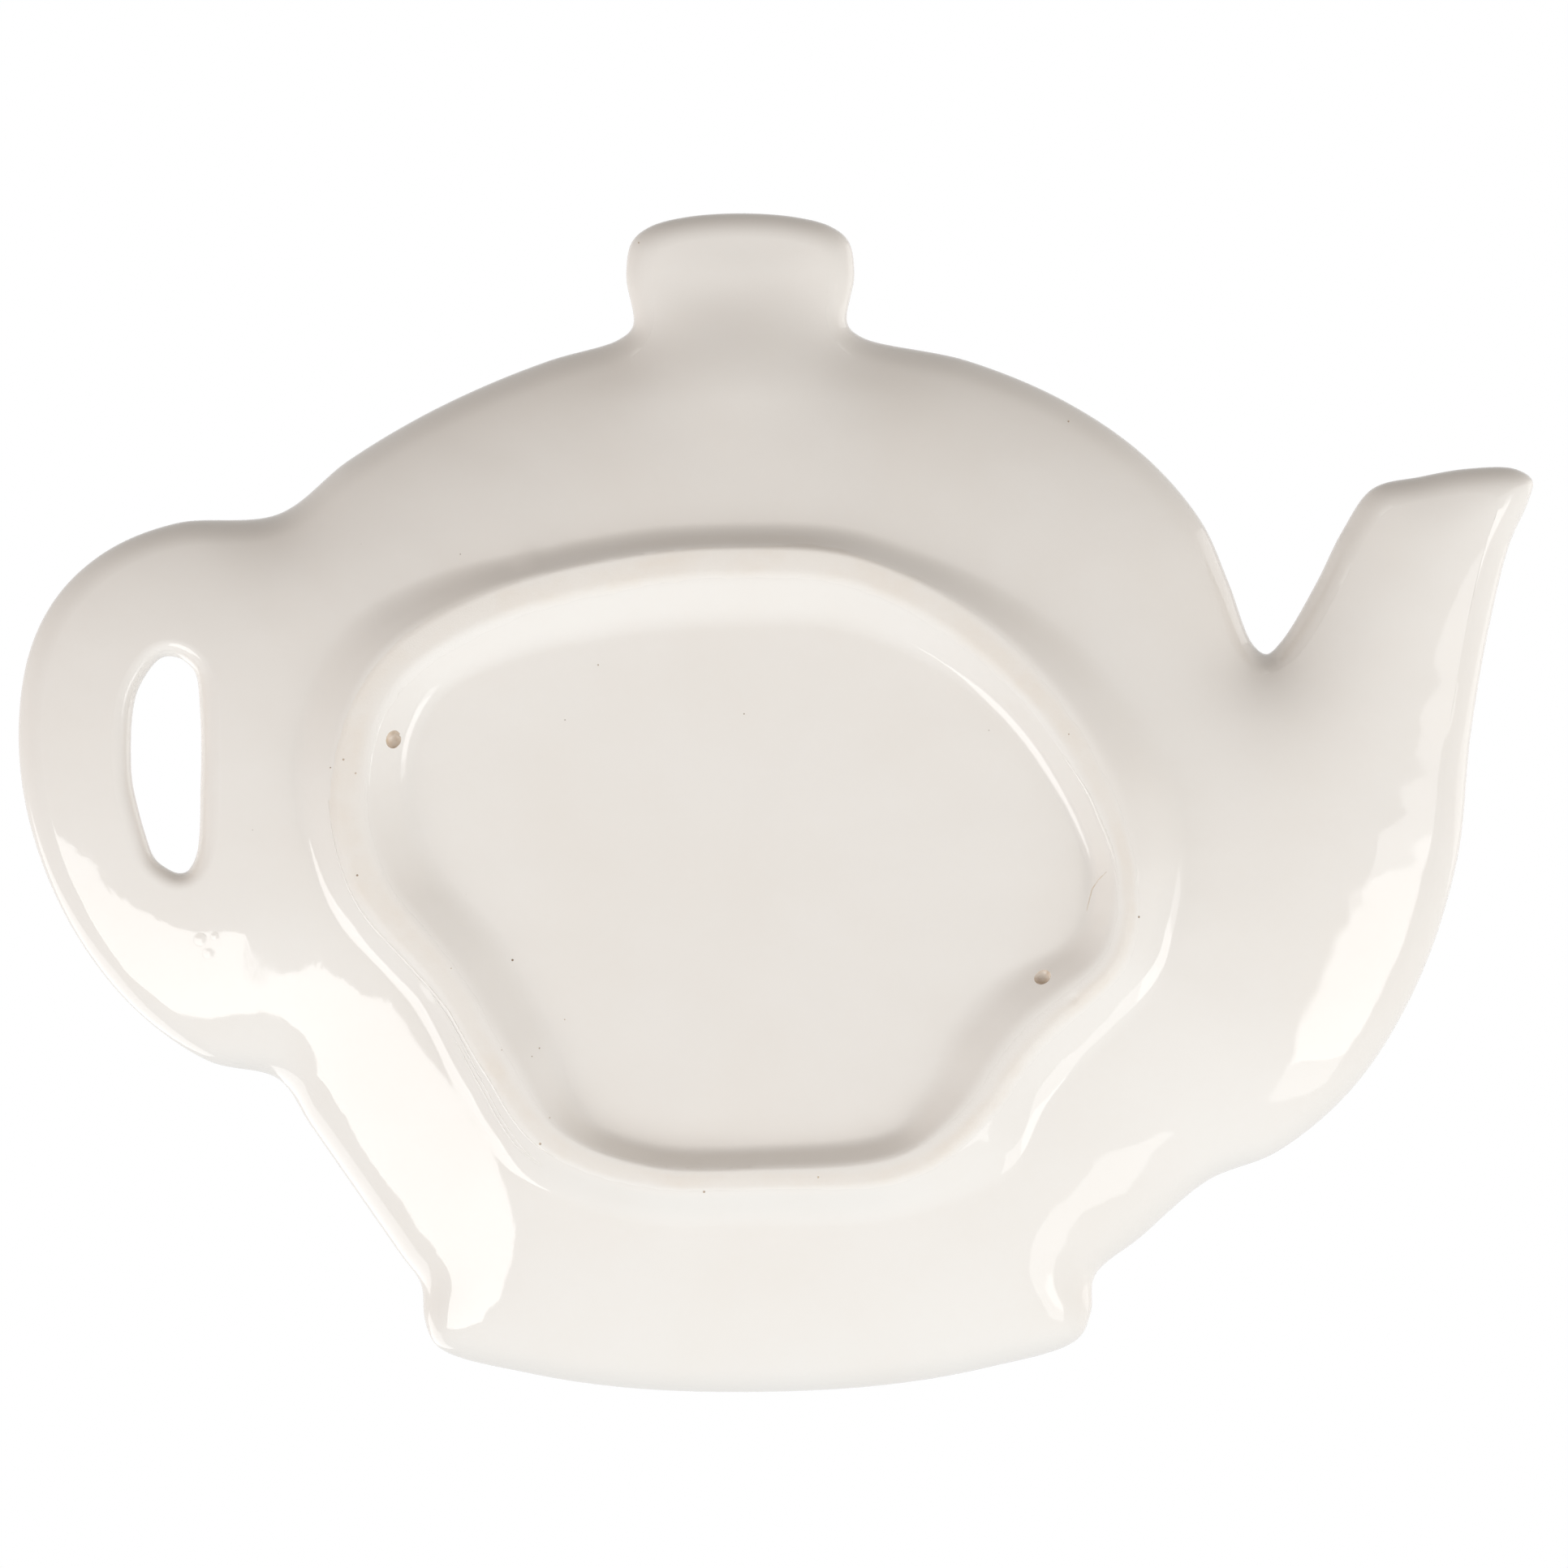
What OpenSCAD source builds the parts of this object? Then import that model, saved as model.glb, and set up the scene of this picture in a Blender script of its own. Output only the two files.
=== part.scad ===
// Tea bag rest: a shallow glazed dish in the outline of a teapot, standing on a luted foot ring.
// Frame: the dish stands on its foot ring on z = 0, well up, knob towards +Y, handle towards +X.
// The outline is drawn about the body's axis and belt line, then moved so that its box is centred.

/* [Dish] */
// Thickness of the clay, measured upright
wall = 4; // [3:0.1:6]
// How far the rim stands above the flat of the dish
rise = 6.8; // [4:0.1:10]
// How hollow the wall is on its way from the foot ring up to the rim
hollow = 2; // [1.2:0.1:3]
// Height of the rim's rounding on the underside
lip_under = 1.8; // [1:0.1:2.4]
// Width of the rim's rounding
lip_w = 1.8; // [1:0.1:2.4]

/* [Dome] */
// How far the dome's curve on the handle side would reach past the handle's roots
dome_handle_w = 6; // [4:0.1:9]
// Height of the dome's curve on the handle side, above the belt line
dome_handle_h = 25.3; // [23:0.1:28]
// Roundness of the dome on the handle side
dome_handle_n = 1.6; // [1.4:0.05:2]
// Reach of the dome's curve on the spout side
dome_spout_w = 37.9; // [35:0.1:38.5]
// Height of the dome's curve on the spout side
dome_spout_h = 24.3; // [22:0.1:27]

/* [Knob] */
// Width of the lid knob at its bulge
knob_w = 18.1; // [14:0.1:22]
// Width of the knob's neck
knob_neck_w = 17; // [12:0.1:18]
// Height of the knob above the dome
knob_h = 9.9; // [7:0.1:13]
// How far the knob stands off the body's axis, towards the handle
knob_x = 1.4; // [-3:0.1:4]
// Radius of the knob's upper corners
knob_round = 1.8; // [1:0.1:3]
// Share of the wall's hollow that is filled under the knob
knob_fill = 0.7; // [0:0.05:0.9]
// Crown of the knob's top edge
knob_crown = 1.1; // [0.4:0.1:2]
// Radius of the hollow where the knob's neck meets the dome
neck_round = 1.1; // [0.6:0.1:1.6]

/* [Spout] */
// Reach of the spout's tip from the body's axis
spout_reach = 61.4; // [58:0.1:68]
// Height of the spout's mouth above the belt line
spout_top = 13.3; // [10:0.1:18]
// Width of the spout's mouth
mouth_w = 12.7; // [10:0.1:14]
// How far the mouth's inner end lies below its outer end
mouth_slope = 1.6; // [0.5:0.1:3]
// Radius of the spout's tip
tip_round = 1.4; // [0.8:0.1:2]
// Hollow of the spout's outer edge
spout_bow = 0.6; // [0:0.1:1.5]
// Distance of the notch between dome and spout from the body's axis
notch_x = 40.3; // [39.5:0.1:43]
// Depth of the notch below the belt line
notch_drop = 1.4; // [0:0.1:5]
// Radius of the notch
notch_round = 1; // [0.7:0.1:1.5]

/* [Belly] */
// Reach of the belly where the spout grows out of it
belly_reach = 56.5; // [54:0.1:58]
// Depth below the belt line at which the belly starts
belly_start = 7.8; // [6:0.1:12]
// Distance of the belly's centre of curvature from the body's axis
belly_x = 35; // [33:0.1:38]
// Depth of the belly's lowest curve below the belt line
belly_drop = 42.6; // [40:0.1:46]
// Roundness of the belly
belly_n = 1.9; // [1.7:0.05:2.3]

/* [Base] */
// Width of the base
base_w = 52.8; // [46:0.1:58]
// Depth of the base's lowest point below the belt line
base_drop = 59.9; // [56:0.1:66]
// Height of the base's side
base_h = 8.9; // [7:0.1:11]
// Radius of the base's lower corners
base_round = 3.6; // [2:0.1:4.4]
// Crown of the base's lower edge
base_crown = 1.7; // [0.5:0.1:3]
// Tilt of the base's lower edge, in degrees
base_tilt = 0.7; // [0:0.1:2]

/* [Handle] */
// Reach of the handle from the body's axis
handle_reach = 58.6; // [56:0.1:64]
// Distance of the handle's roots from the handle's outer edge
handle_root = 20.6; // [19:0.1:22.5]
// Height of the handle's upper root above the belt line
handle_top = 9.7; // [7:0.1:13]
// Depth of the handle's widest point below the belt line
handle_mid = 8.5; // [6:0.1:12]
// Depth of the handle's lower root below the belt line
handle_drop = 35.1; // [32:0.1:38]
// Squareness of the handle's upper corner
handle_top_n = 2.5; // [2:0.05:3]
// Squareness of the handle's lower corner
handle_low_n = 1.8; // [1.5:0.05:2.2]

/* [Handle eye] */
// Width of the eye through the handle
eye_w = 5.7; // [4:0.1:7]
// Height of the eye
eye_h = 17.1; // [12:0.1:20]
// Width of the strip of handle outside the eye
handle_strip = 8.9; // [7:0.1:10]
// Depth of the eye's centre below the belt line
eye_drop = 10.2; // [8:0.1:13]
// Squareness of the eye on the body side
eye_body_n = 3.2; // [2:0.1:4]
// Squareness of the eye on the outer side
eye_outer_n = 2.1; // [2:0.1:3]
// Width of the rounding of the eye's edges
eye_round = 1.5; // [0.6:0.1:2]

/* [Foot ring] */
// Width of the foot ring along X, at the middle of its face
ring_w = 64; // [58:0.1:66]
// Depth of the foot ring along Y, at the middle of its face
ring_h = 49.2; // [44:0.1:50]
// Distance of the middle of the ring's face from the handle's roots
ring_x = 4.5; // [3.5:0.1:6]
// Depth of the ring's centre below the belt line
ring_drop = 18.1; // [16:0.1:20]
// Height of the foot ring under the dish
foot_h = 2.2; // [1.8:0.1:4]
// Width of the ring's flat, dry face
face_w = 1.6; // [1.2:0.1:3]
// Width of the ring's outer wall with its fillet
ring_out_w = 3.6; // [2.4:0.1:4]
// Mean width of the ring's inner wall with its fillet
ring_in_w = 4.9; // [3.6:0.1:6]
// How much wider than the mean the inner wall is on its wide side, and narrower on the other
ring_lean = 1.7; // [0:0.1:2]
// Direction of the inner wall's wide side, in degrees
lean_turn = 48; // [0:1:90]
// Share of each wall that belongs to the ring, the rest is luting slip
ring_share = 0.5; // [0.4:0.05:0.7]

/* [Vent holes] */
// Diameter of the two blind vent holes in the ring's inner wall
vent_d = 1.5; // [1:0.1:1.8]
// Height of the vents' blind ends above the rest face
vent_z = 1.4; // [1.2:0.05:1.6]
// How far the blind ends stay inside the middle of the ring's face
vent_in = 1; // [0.5:0.1:2]
// Angle of the vents against the upright, in degrees
vent_lean = 60; // [45:1:80]
// Direction of the line through both vents, in degrees
vent_turn = 20; // [10:1:30]

/* [Hidden] */
// Samples for each span of a spline
span = 2;
// Rows from the rim to the ring, from the ring to the middle, and across the handle
rim_rows = 8;
floor_rows = 3;
front_rows = 4;
handle_rows = 6;
vent_fn = 24;

// Small curve helpers
function lerp(a, b, t) = a + (b - a) * t;
function flip(list) = [for (i = [len(list) - 1:-1:0]) list[i]];
function head(list) = [for (i = [0:1:len(list) - 2]) list[i]];
function signed_pow(x, e) = sign(x) * pow(abs(x), e);
function ease(t) = (1 - cos(180 * t)) / 2;
// Height of a superellipse with half axes a and b above its axis
function oval_y(x, a, b, n) = b * pow(1 - pow(abs(x) / a, n), 1 / n);
// Point of a superellipse at the angle t
function oval_point(a, b, n, t) = [a * signed_pow(cos(t), 2 / n), b * signed_pow(sin(t), 2 / n)];
// One point of a smooth curve through p1 and p2, whose knots follow the root of the distance
function spline_point(p0, p1, p2, p3, f) =
    let (k1 = sqrt(norm(p1 - p0)))
    let (k2 = k1 + sqrt(norm(p2 - p1)))
    let (k3 = k2 + sqrt(norm(p3 - p2)))
    let (t = lerp(k1, k2, f))
    let (a1 = lerp(p0, p1, t / k1))
    let (a2 = lerp(p1, p2, (t - k1) / (k2 - k1)))
    let (a3 = lerp(p2, p3, (t - k2) / (k3 - k2)))
    let (b1 = lerp(a1, a2, t / k2))
    let (b2 = lerp(a2, a3, (t - k1) / (k3 - k1)))
    lerp(b1, b2, (t - k1) / (k2 - k1));
function closed_spline(pts, steps) =
    let (n = len(pts))
    [for (i = [0:n - 1]) for (j = [0:steps - 1])
        spline_point(pts[(i + n - 1) % n], pts[i], pts[(i + 1) % n], pts[(i + 2) % n], j / steps)];

// Anchor points of the outline, counterclockwise from the handle's upper root
root_x = handle_reach - handle_root;
function dome_handle_y(x) = oval_y(x, root_x + dome_handle_w, dome_handle_h, dome_handle_n);
function dome_spout_y(x) = oval_y(x, dome_spout_w, dome_spout_h, 2);
neck_x = knob_neck_w / 2 + neck_round;
dome_handle_pts = concat(
    [[root_x, handle_top]],
    [for (i = [1:4]) let (x = lerp(root_x, knob_x + neck_x, i / 5)) [x, dome_handle_y(x)]]);
knob_foot = [knob_x + neck_x, dome_handle_y(knob_x + neck_x)];
knob_foot_spout = [knob_x - neck_x, dome_spout_y(knob_x - neck_x)];
knob_half = [
    [knob_neck_w / 2, neck_round],
    [knob_w / 2, knob_h / 2],
    [knob_w / 2 - 0.25 * knob_round, knob_h - knob_crown - 0.65 * knob_round],
    [knob_w / 2 - knob_round, knob_h - knob_crown],
    [knob_w / 4, knob_h - 0.3 * knob_crown]];
// Each side of the knob stands on its own foot, and both meet at the top
knob_y = (knob_foot[1] + knob_foot_spout[1]) / 2;
function knob_rise(foot, h) = lerp(foot[1], knob_y, h / knob_h) + h;
knob_pts = concat(
    [knob_foot],
    [for (p = knob_half) [knob_x + p[0], knob_rise(knob_foot, p[1])]],
    [[knob_x, knob_y + knob_h]],
    [for (p = flip(knob_half)) [knob_x - p[0], knob_rise(knob_foot_spout, p[1])]]);
notch = [-notch_x, -notch_drop];
dome_spout_pts = concat(
    [knob_foot_spout],
    [for (t = [26, 40, 54, 68, 80]) [-dome_spout_w * sin(t), dome_spout_h * cos(t)]],
    [notch + notch_round * [1.1, 0.8]]);
spout_tip = [-spout_reach, spout_top - 0.7 * tip_round];
mouth_in = [-spout_reach + mouth_w, spout_top - mouth_slope];
notch_out = notch + notch_round * [-1.25, 1.1];
belly_top = [-belly_reach, -belly_start];
spout_pts = [
    notch,
    notch_out,
    lerp(notch_out, mouth_in, 0.38),
    lerp(notch_out, mouth_in, 0.72) + [0.4 * notch_round, 0],
    mouth_in,
    [lerp(mouth_in[0], spout_tip[0], 0.3), spout_top - 0.4 * mouth_slope],
    [lerp(mouth_in[0], spout_tip[0], 0.6), spout_top],
    spout_tip + tip_round * [1, 0.68],
    spout_tip,
    spout_tip + tip_round * [0.25, -1.2],
    lerp(spout_tip, belly_top, 0.25) + [spout_bow, 0],
    lerp(spout_tip, belly_top, 0.6) + [spout_bow, 0]];
belly_w = belly_reach - belly_x;
belly_pts = concat(
    [belly_top],
    [for (t = [18, 36, 54, 72])
        [-belly_x, -belly_start] - oval_point(belly_w, belly_drop - belly_start, belly_n, t)],
    [[-1.02 * belly_x, -1.012 * belly_drop]]);
base_half = [
    [0.506 * base_w, base_h],
    [base_w / 2, 0.674 * base_h],
    [base_w / 2 - 0.3 * base_round, base_crown + 0.6 * base_round],
    [base_w / 2 - 2.3 * base_round, base_crown],
    [0.19 * base_w, 0.25 * base_crown]];
base_turn = tan(base_tilt);
function base_point(x, y) = [x, y - base_drop - base_turn * x];
base_pts = concat(
    [for (p = base_half) base_point(-p[0], p[1])],
    [base_point(0, 0)],
    [for (p = flip(base_half)) base_point(p[0], p[1])]);
waist_pt = lerp(belly_pts[len(belly_pts) - 1], base_pts[0], 0.6);
handle_low = [root_x, -handle_drop];
base_end = base_pts[len(base_pts) - 1];
flank_pts = [for (f = [0.15, 0.45, 0.78]) lerp(base_end, handle_low, f)];
handle_c = [root_x, -handle_mid];
handle_pts = concat(
    [handle_low],
    [for (t = [72, 54, 36, 18])
        let (p = oval_point(handle_root, handle_drop - handle_mid, handle_low_n, t))
        handle_c + [p[0], -p[1]]],
    [handle_c + [handle_root, 0]],
    [for (t = [18, 36, 54, 72])
        handle_c + oval_point(handle_root, handle_top + handle_mid, handle_top_n, t)]);

// Number of each feature's first anchor
at_neck = len(dome_handle_pts);
at_neck_end = at_neck + len(knob_pts);
at_notch = at_neck_end + len(dome_spout_pts);
at_belly = at_notch + len(spout_pts);
at_handle = at_belly + len(belly_pts) + 1 + len(base_pts) + len(flank_pts);
at_end = at_handle + len(handle_pts);
knob_side = 4;
spout_side = 4;

// The outline, centred on its own box
drawn = closed_spline(concat(dome_handle_pts, knob_pts, dome_spout_pts, spout_pts, belly_pts,
    [waist_pt], base_pts, flank_pts, handle_pts), span);
drawn_x = [for (p = drawn) p[0]];
drawn_y = [for (p = drawn) p[1]];
shift = -[max(drawn_x) + min(drawn_x), max(drawn_y) + min(drawn_y)] / 2;
outline = [for (p = drawn) p + shift];
function stretch(from, to) = [for (i = [from * span:to * span]) outline[i % len(outline)]];

// Distance to a closed line, made smooth by adding up the inverse cube of the distance along it
function unit(v) = v / norm(v);
function line_of(pts) = let (v = concat(pts, [pts[0]]))
    [v, [for (i = [0:len(pts) - 1]) unit(v[i + 1] - v[i])], [for (p = pts) 1]];
function depth(p, line) =
    let (a = [for (v = line[0]) v - p])
    let (n = [for (v = a) norm(v)])
    min(n) < 0.0001 ? 0 :
    let (terms = [for (i = [0:len(line[1]) - 1])
        let (t1 = a[i] * line[1][i])
        let (t2 = a[i + 1] * line[1][i])
        (t2 / n[i + 1] - t1 / n[i]) / max(n[i] * n[i] - t1 * t1, 0.0000001)])
    1 / sqrt(terms * line[2] / 2);
rim_line = line_of(outline);

// Quarter round of an edge: its height at the distance d from the edge
function edge_round(d, w, h) = d >= w ? 0 : h * (1 - sqrt(1 - pow(1 - d / w, 2)));
eye_half = wall / 2;
// Underside and front of the clay at the spot q = [depth behind the rim, share of the rise], and at the
// distance e from the eye
function under_z(q, e) = foot_h + rise * q[1]
    + edge_round(q[0], lip_w, lip_under) + edge_round(e, eye_round, eye_half);
function front_z(q, e) = foot_h + wall + rise * q[1]
    - edge_round(q[0], lip_w, wall - lip_under) - edge_round(e, eye_round, wall - eye_half);

// Foot ring: the middle of its face, as a closed curve in shares of its half width and half depth
ring_shape = [[0, 1], [0.3, 0.96], [0.62, 0.84], [0.88, 0.63], [1, 0.3], [0.95, -0.05], [0.74, -0.38],
    [0.6, -0.65], [0.47, -0.88], [0.24, -1], [-0.05, -1.01], [-0.4, -0.97], [-0.58, -0.82],
    [-0.74, -0.57], [-0.95, -0.3], [-0.98, -0.05], [-0.87, 0.34], [-0.62, 0.72], [-0.3, 0.95]];
ring_c = [root_x - ring_x - ring_w / 2, -ring_drop] + shift;
ring_curve = closed_spline([for (p = ring_shape) [p[0] * ring_w / 2, p[1] * ring_h / 2]], 6);
function turn(v) = atan2(v[1], v[0]);
ring_table = [for (turns = [-360, 0, 360]) for (p = ring_curve) [turn(p) + turns, norm(p)]];
function ring_r(t) = lookup(t, ring_table);
// Slant of the ring against the ray at the angle t, which lengthens a step along that ray
slant_step = 3;
function ring_slant(t) =
    let (d = (ring_r(t + slant_step) - ring_r(t - slant_step)) / (2 * slant_step * PI / 180 * ring_r(t)))
    sqrt(1 + d * d);
// Point on the ray through p, at the distance e outside the middle of the ring's face
function on_ray(p, e) =
    let (v = p - ring_c)
    ring_c + unit(v) * (ring_r(turn(v)) + e * ring_slant(turn(v)));
// Section of the ring, from its outer toe to its inner toe: the share of the wall's width, outside as a
// positive number, and the share of the foot's height that is open below it
shares = [0, ring_share / 2, ring_share, (1 + ring_share) / 2, 1];
function wall_curve(t) = 1 - pow(1 - t, 3) * (1 + 3 * t);
section = concat(
    [for (t = flip(shares)) [1, t, wall_curve(t)]],
    [for (t = shares) [-1, t, wall_curve(t)]]);
function inner_w(t) = ring_in_w + ring_lean * cos(t - lean_turn);
function section_e(s, t) = s[0] * (face_w / 2 + s[1] * (s[0] > 0 ? ring_out_w : inner_w(t)));
function section_point(s, p) = on_ray(p, section_e(s, turn(p - ring_c)));
last_row = len(section) - 1;
outer_joint = 2;
inner_joint = last_row - 2;

// Share of the rise at the point p, at the depth d behind the rim: it climbs from the ring's outer wall,
// and the knob stands flatter than the wall below it
climb_start = (face_w + ring_out_w) / 2;
climb_soft = 0.3;
function soft(x) = (x + sqrt(x * x + 4 * climb_soft * climb_soft)) / 2;
function ring_gap(p) =
    let (v = p - ring_c)
    (norm(v) - ring_r(turn(v))) / ring_slant(turn(v));
function knob_part(p) = ease(min(1, max(0, (p[1] - shift[1] - knob_y) / knob_h + 0.5)));
function climb(p, d) =
    let (q = soft(ring_gap(p) - climb_start))
    q / (q + hollow * (1 - knob_fill * knob_part(p)) * d);
function spot(p) = let (d = depth(p, rim_line)) [d, climb(p, d)];

// Roots of the knob, the spout and the handle, across the plan
knob_cols = (at_neck_end - at_neck - 2 * knob_side) * span;
spout_cols = (at_belly - at_notch - 2 * spout_side) * span;
root_cols = 12;
root_bow = (handle_root - handle_strip - eye_w) / 2;
knob_root = [for (i = [0:knob_cols])
    lerp(outline[at_neck * span], outline[at_neck_end * span], ease(i / knob_cols))];
spout_root = [for (i = [0:spout_cols])
    lerp(outline[at_notch * span], outline[at_belly * span], ease(i / spout_cols))];
// The handle's root bows halfway from the ring's toe to the eye
handle_line = [for (i = [0:root_cols])
    let (f = ease(i / root_cols))
    lerp(outline[at_handle * span], outline[0], f) + [root_bow * sin(180 * f), 0]];
// The body's own loop, closed across the three roots
core_parts = [
    head(stretch(0, at_neck)), head(knob_root), head(stretch(at_neck_end, at_notch)), head(spout_root),
    head(stretch(at_belly, at_handle)), head(handle_line)];
core = [for (part = core_parts) each part];

// Plans of the patches, as rows of points, which crowd towards the rim but not towards a root
rim_power = 1.8;
row_power = [for (i = [0:len(core_parts) - 1]) for (c = [0:len(core_parts[i]) - 1])
    i % 2 == 0 ? rim_power : lerp(rim_power, 1, sin(180 * c / len(core_parts[i])))];
rim_plan = [for (r = [0:rim_rows - 1]) [for (c = [0:len(core) - 1])
    r == 0 ? core[c] : lerp(core[c], section_point(section[0], core[c]), pow(r / rim_rows, row_power[c]))]];
band_plan = [for (s = section) [for (p = core) section_point(s, p)]];
floor_plan = [for (i = [1:floor_rows - 1])
    [for (p = band_plan[last_row]) lerp(p, ring_c, i / floor_rows)]];
well_plan = [for (i = [0:front_rows - 1]) [for (p = band_plan[0]) lerp(p, ring_c, i / front_rows)]];
// A patch between four lines that share their ends
function four_sided(low, high, left, right) =
    let (nu = len(low) - 1)
    let (nv = len(left) - 1)
    [for (r = [0:nv]) [for (c = [0:nu])
        r == 0 ? low[c] : r == nv ? high[c] : c == 0 ? left[r] : c == nu ? right[r] :
        let (u = c / nu)
        let (v = r / nv)
        lerp(low[c], high[c], v) + lerp(left[r], right[r], u)
            - lerp(lerp(low[0], low[nu], u), lerp(high[0], high[nu], u), v)]];
knob_plan = four_sided(knob_root, stretch(at_neck + knob_side, at_neck_end - knob_side),
    stretch(at_neck, at_neck + knob_side), flip(stretch(at_neck_end - knob_side, at_neck_end)));
spout_plan = four_sided(spout_root, stretch(at_notch + spout_side, at_belly - spout_side),
    stretch(at_notch, at_notch + spout_side), flip(stretch(at_belly - spout_side, at_belly)));
// The handle: from its own loop to the eye, a superellipse that is squarer on the body side
eye_c = [handle_reach - handle_strip - eye_w / 2, -eye_drop] + shift;
function eye_point(p) =
    let (v = p - eye_c)
    let (t = atan2(v[1] / eye_h, v[0] / eye_w))
    let (n = v[0] < 0 ? eye_body_n : eye_outer_n)
    let (k = pow(pow(abs(cos(t)), n) + pow(abs(sin(t)), n), -1 / n) / 2)
    eye_c + k * [eye_w * cos(t), eye_h * sin(t)];
handle_loop = concat(head(stretch(at_handle, at_end)), head(flip(handle_line)));
eye_loop = [for (p = handle_loop) eye_point(p)];
eye_line = line_of(eye_loop);
handle_plan = [for (r = [0:handle_rows]) [for (i = [0:len(handle_loop) - 1])
    r == 0 ? handle_loop[i] : r == handle_rows ? eye_loop[i]
        : lerp(handle_loop[i], eye_loop[i], ease(r / handle_rows))]];

// Spots of the plans' points, and their distances from the eye
function spots(plan) = [for (row = plan) [for (p = row) spot(p)]];
rim_spots = spots(rim_plan);
band_spots = spots(band_plan);
floor_spots = spots(floor_plan);
well_spots = spots(well_plan);
knob_spots = spots(knob_plan);
spout_spots = spots(spout_plan);
handle_spots = spots(handle_plan);
eye_depth = [for (row = handle_plan) [for (p = row) depth(p, eye_line)]];
centre_spot = spot(ring_c);
function level(p, z) = [p[0], p[1], z];
far = 100;
// The plans raised to the underside or to the front
function raised(plan, deep, up) = [for (r = [0:len(plan) - 1]) for (c = [0:len(plan[0]) - 1])
    level(plan[r][c], up ? front_z(deep[r][c], far) : under_z(deep[r][c], far))];
function raised_handle(up) = [for (r = [0:handle_rows]) for (c = [0:len(handle_loop) - 1])
    level(handle_plan[r][c], up ? front_z(handle_spots[r][c], eye_depth[r][c])
        : under_z(handle_spots[r][c], eye_depth[r][c]))];

// Triangles of a grid of points; wrap joins the last column to the first. A grid that doesn't wrap has
// mirrored halves, so that both its far corners are cut off by a triangle with a point inside the rim
function triangles(rows, cols, start, wrap, up) =
    [for (r = [0:rows - 2]) for (c = [0:wrap ? cols - 1 : cols - 2])
        let (a = start + r * cols + c)
        let (b = start + r * cols + (c + 1) % cols)
        let (mirrored = !wrap && 2 * c < cols - 1)
        let (pair = mirrored ? [[a, a + cols, b], [b, a + cols, b + cols]]
            : [[a, a + cols, b + cols], [a, b + cols, b]])
        each up ? pair : [for (t = pair) flip(t)]];
function fan(cols, start, tip, up) =
    [for (c = [0:cols - 1])
        up ? [start + c, tip, start + (c + 1) % cols] : [start + c, start + (c + 1) % cols, tip]];

// Clay dish: underside and front share the rim and the edge of the eye
module dish() {
    n = len(core);
    body_under = concat(raised(rim_plan, rim_spots, false), raised(band_plan, band_spots, false),
        raised(floor_plan, floor_spots, false), [level(ring_c, under_z(centre_spot, far))]);
    body_front = concat(raised(rim_plan, rim_spots, true), raised(well_plan, well_spots, true),
        [level(ring_c, front_z(centre_spot, far))]);
    under_rows = len(rim_plan) + len(band_plan) + len(floor_plan);
    well_rows = len(rim_plan) + len(well_plan);
    knob_size = [len(knob_plan), len(knob_plan[0])];
    spout_size = [len(spout_plan), len(spout_plan[0])];
    handle_size = [len(handle_plan), len(handle_plan[0])];
    lists = [body_under, raised(knob_plan, knob_spots, false), raised(spout_plan, spout_spots, false),
        raised_handle(false), body_front, raised(knob_plan, knob_spots, true),
        raised(spout_plan, spout_spots, true), raised_handle(true)];
    starts = [for (i = 0, s = 0; i < len(lists); s = s + len(lists[i]), i = i + 1) s];
    faces = concat(
        triangles(under_rows, n, starts[0], true, false),
        fan(n, starts[0] + (under_rows - 1) * n, starts[1] - 1, false),
        triangles(knob_size[0], knob_size[1], starts[1], false, true),
        triangles(spout_size[0], spout_size[1], starts[2], false, true),
        triangles(handle_size[0], handle_size[1], starts[3], true, false),
        triangles(well_rows, n, starts[4], true, true),
        fan(n, starts[4] + (well_rows - 1) * n, starts[5] - 1, true),
        triangles(knob_size[0], knob_size[1], starts[5], false, false),
        triangles(spout_size[0], spout_size[1], starts[6], false, false),
        triangles(handle_size[0], handle_size[1], starts[7], true, true));
    color("ivory") polyhedron([for (l = lists) each l], faces);
}

// A closed band round the ring: rows first to last along the dish, and back along the foot's section
module band(first, last) {
    n = len(core);
    top = [for (r = [first:last]) [r, false]];
    low = [for (r = [last:-1:first]) if (section[r][2] < 1) [r, true]];
    loop = concat(top, low);
    points = [for (q = loop) for (c = [0:n - 1])
        let (z = under_z(band_spots[q[0]][c], far))
        level(band_plan[q[0]][c], q[1] ? z * section[q[0]][2] : z)];
    closing = [for (c = [0:n - 1])
        let (a = (len(loop) - 1) * n + c)
        let (b = (len(loop) - 1) * n + (c + 1) % n)
        each [[a, c, (c + 1) % n], [a, (c + 1) % n, b]]];
    polyhedron(points, concat(triangles(len(loop), n, 0, true, true), closing));
}

// Blind vents in the ring's inner wall, on one line through the ring's centre, leaning outwards
module vents() {
    for (side = [0, 180]) {
        t = vent_turn + side;
        length = ring_in_w + ring_lean;
        translate(level(ring_c + (ring_r(t) - vent_in * ring_slant(t)) * [cos(t), sin(t)], vent_z))
            rotate([0, vent_lean, t])
                translate([0, 0, -length])
                    cylinder(h = length, d = vent_d, $fn = vent_fn);
    }
}

// Foot ring with its flat, dry rest face
module foot_ring() {
    color("wheat") difference() {
        band(outer_joint, inner_joint);
        vents();
    }
}

// Fillets of luting slip that bed the ring on the dish, inside and outside
module luting_slip() {
    color("linen") {
        band(0, outer_joint);
        difference() {
            band(inner_joint, last_row);
            vents();
        }
    }
}

dish();
foot_ring();
luting_slip();
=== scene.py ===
import math

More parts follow.
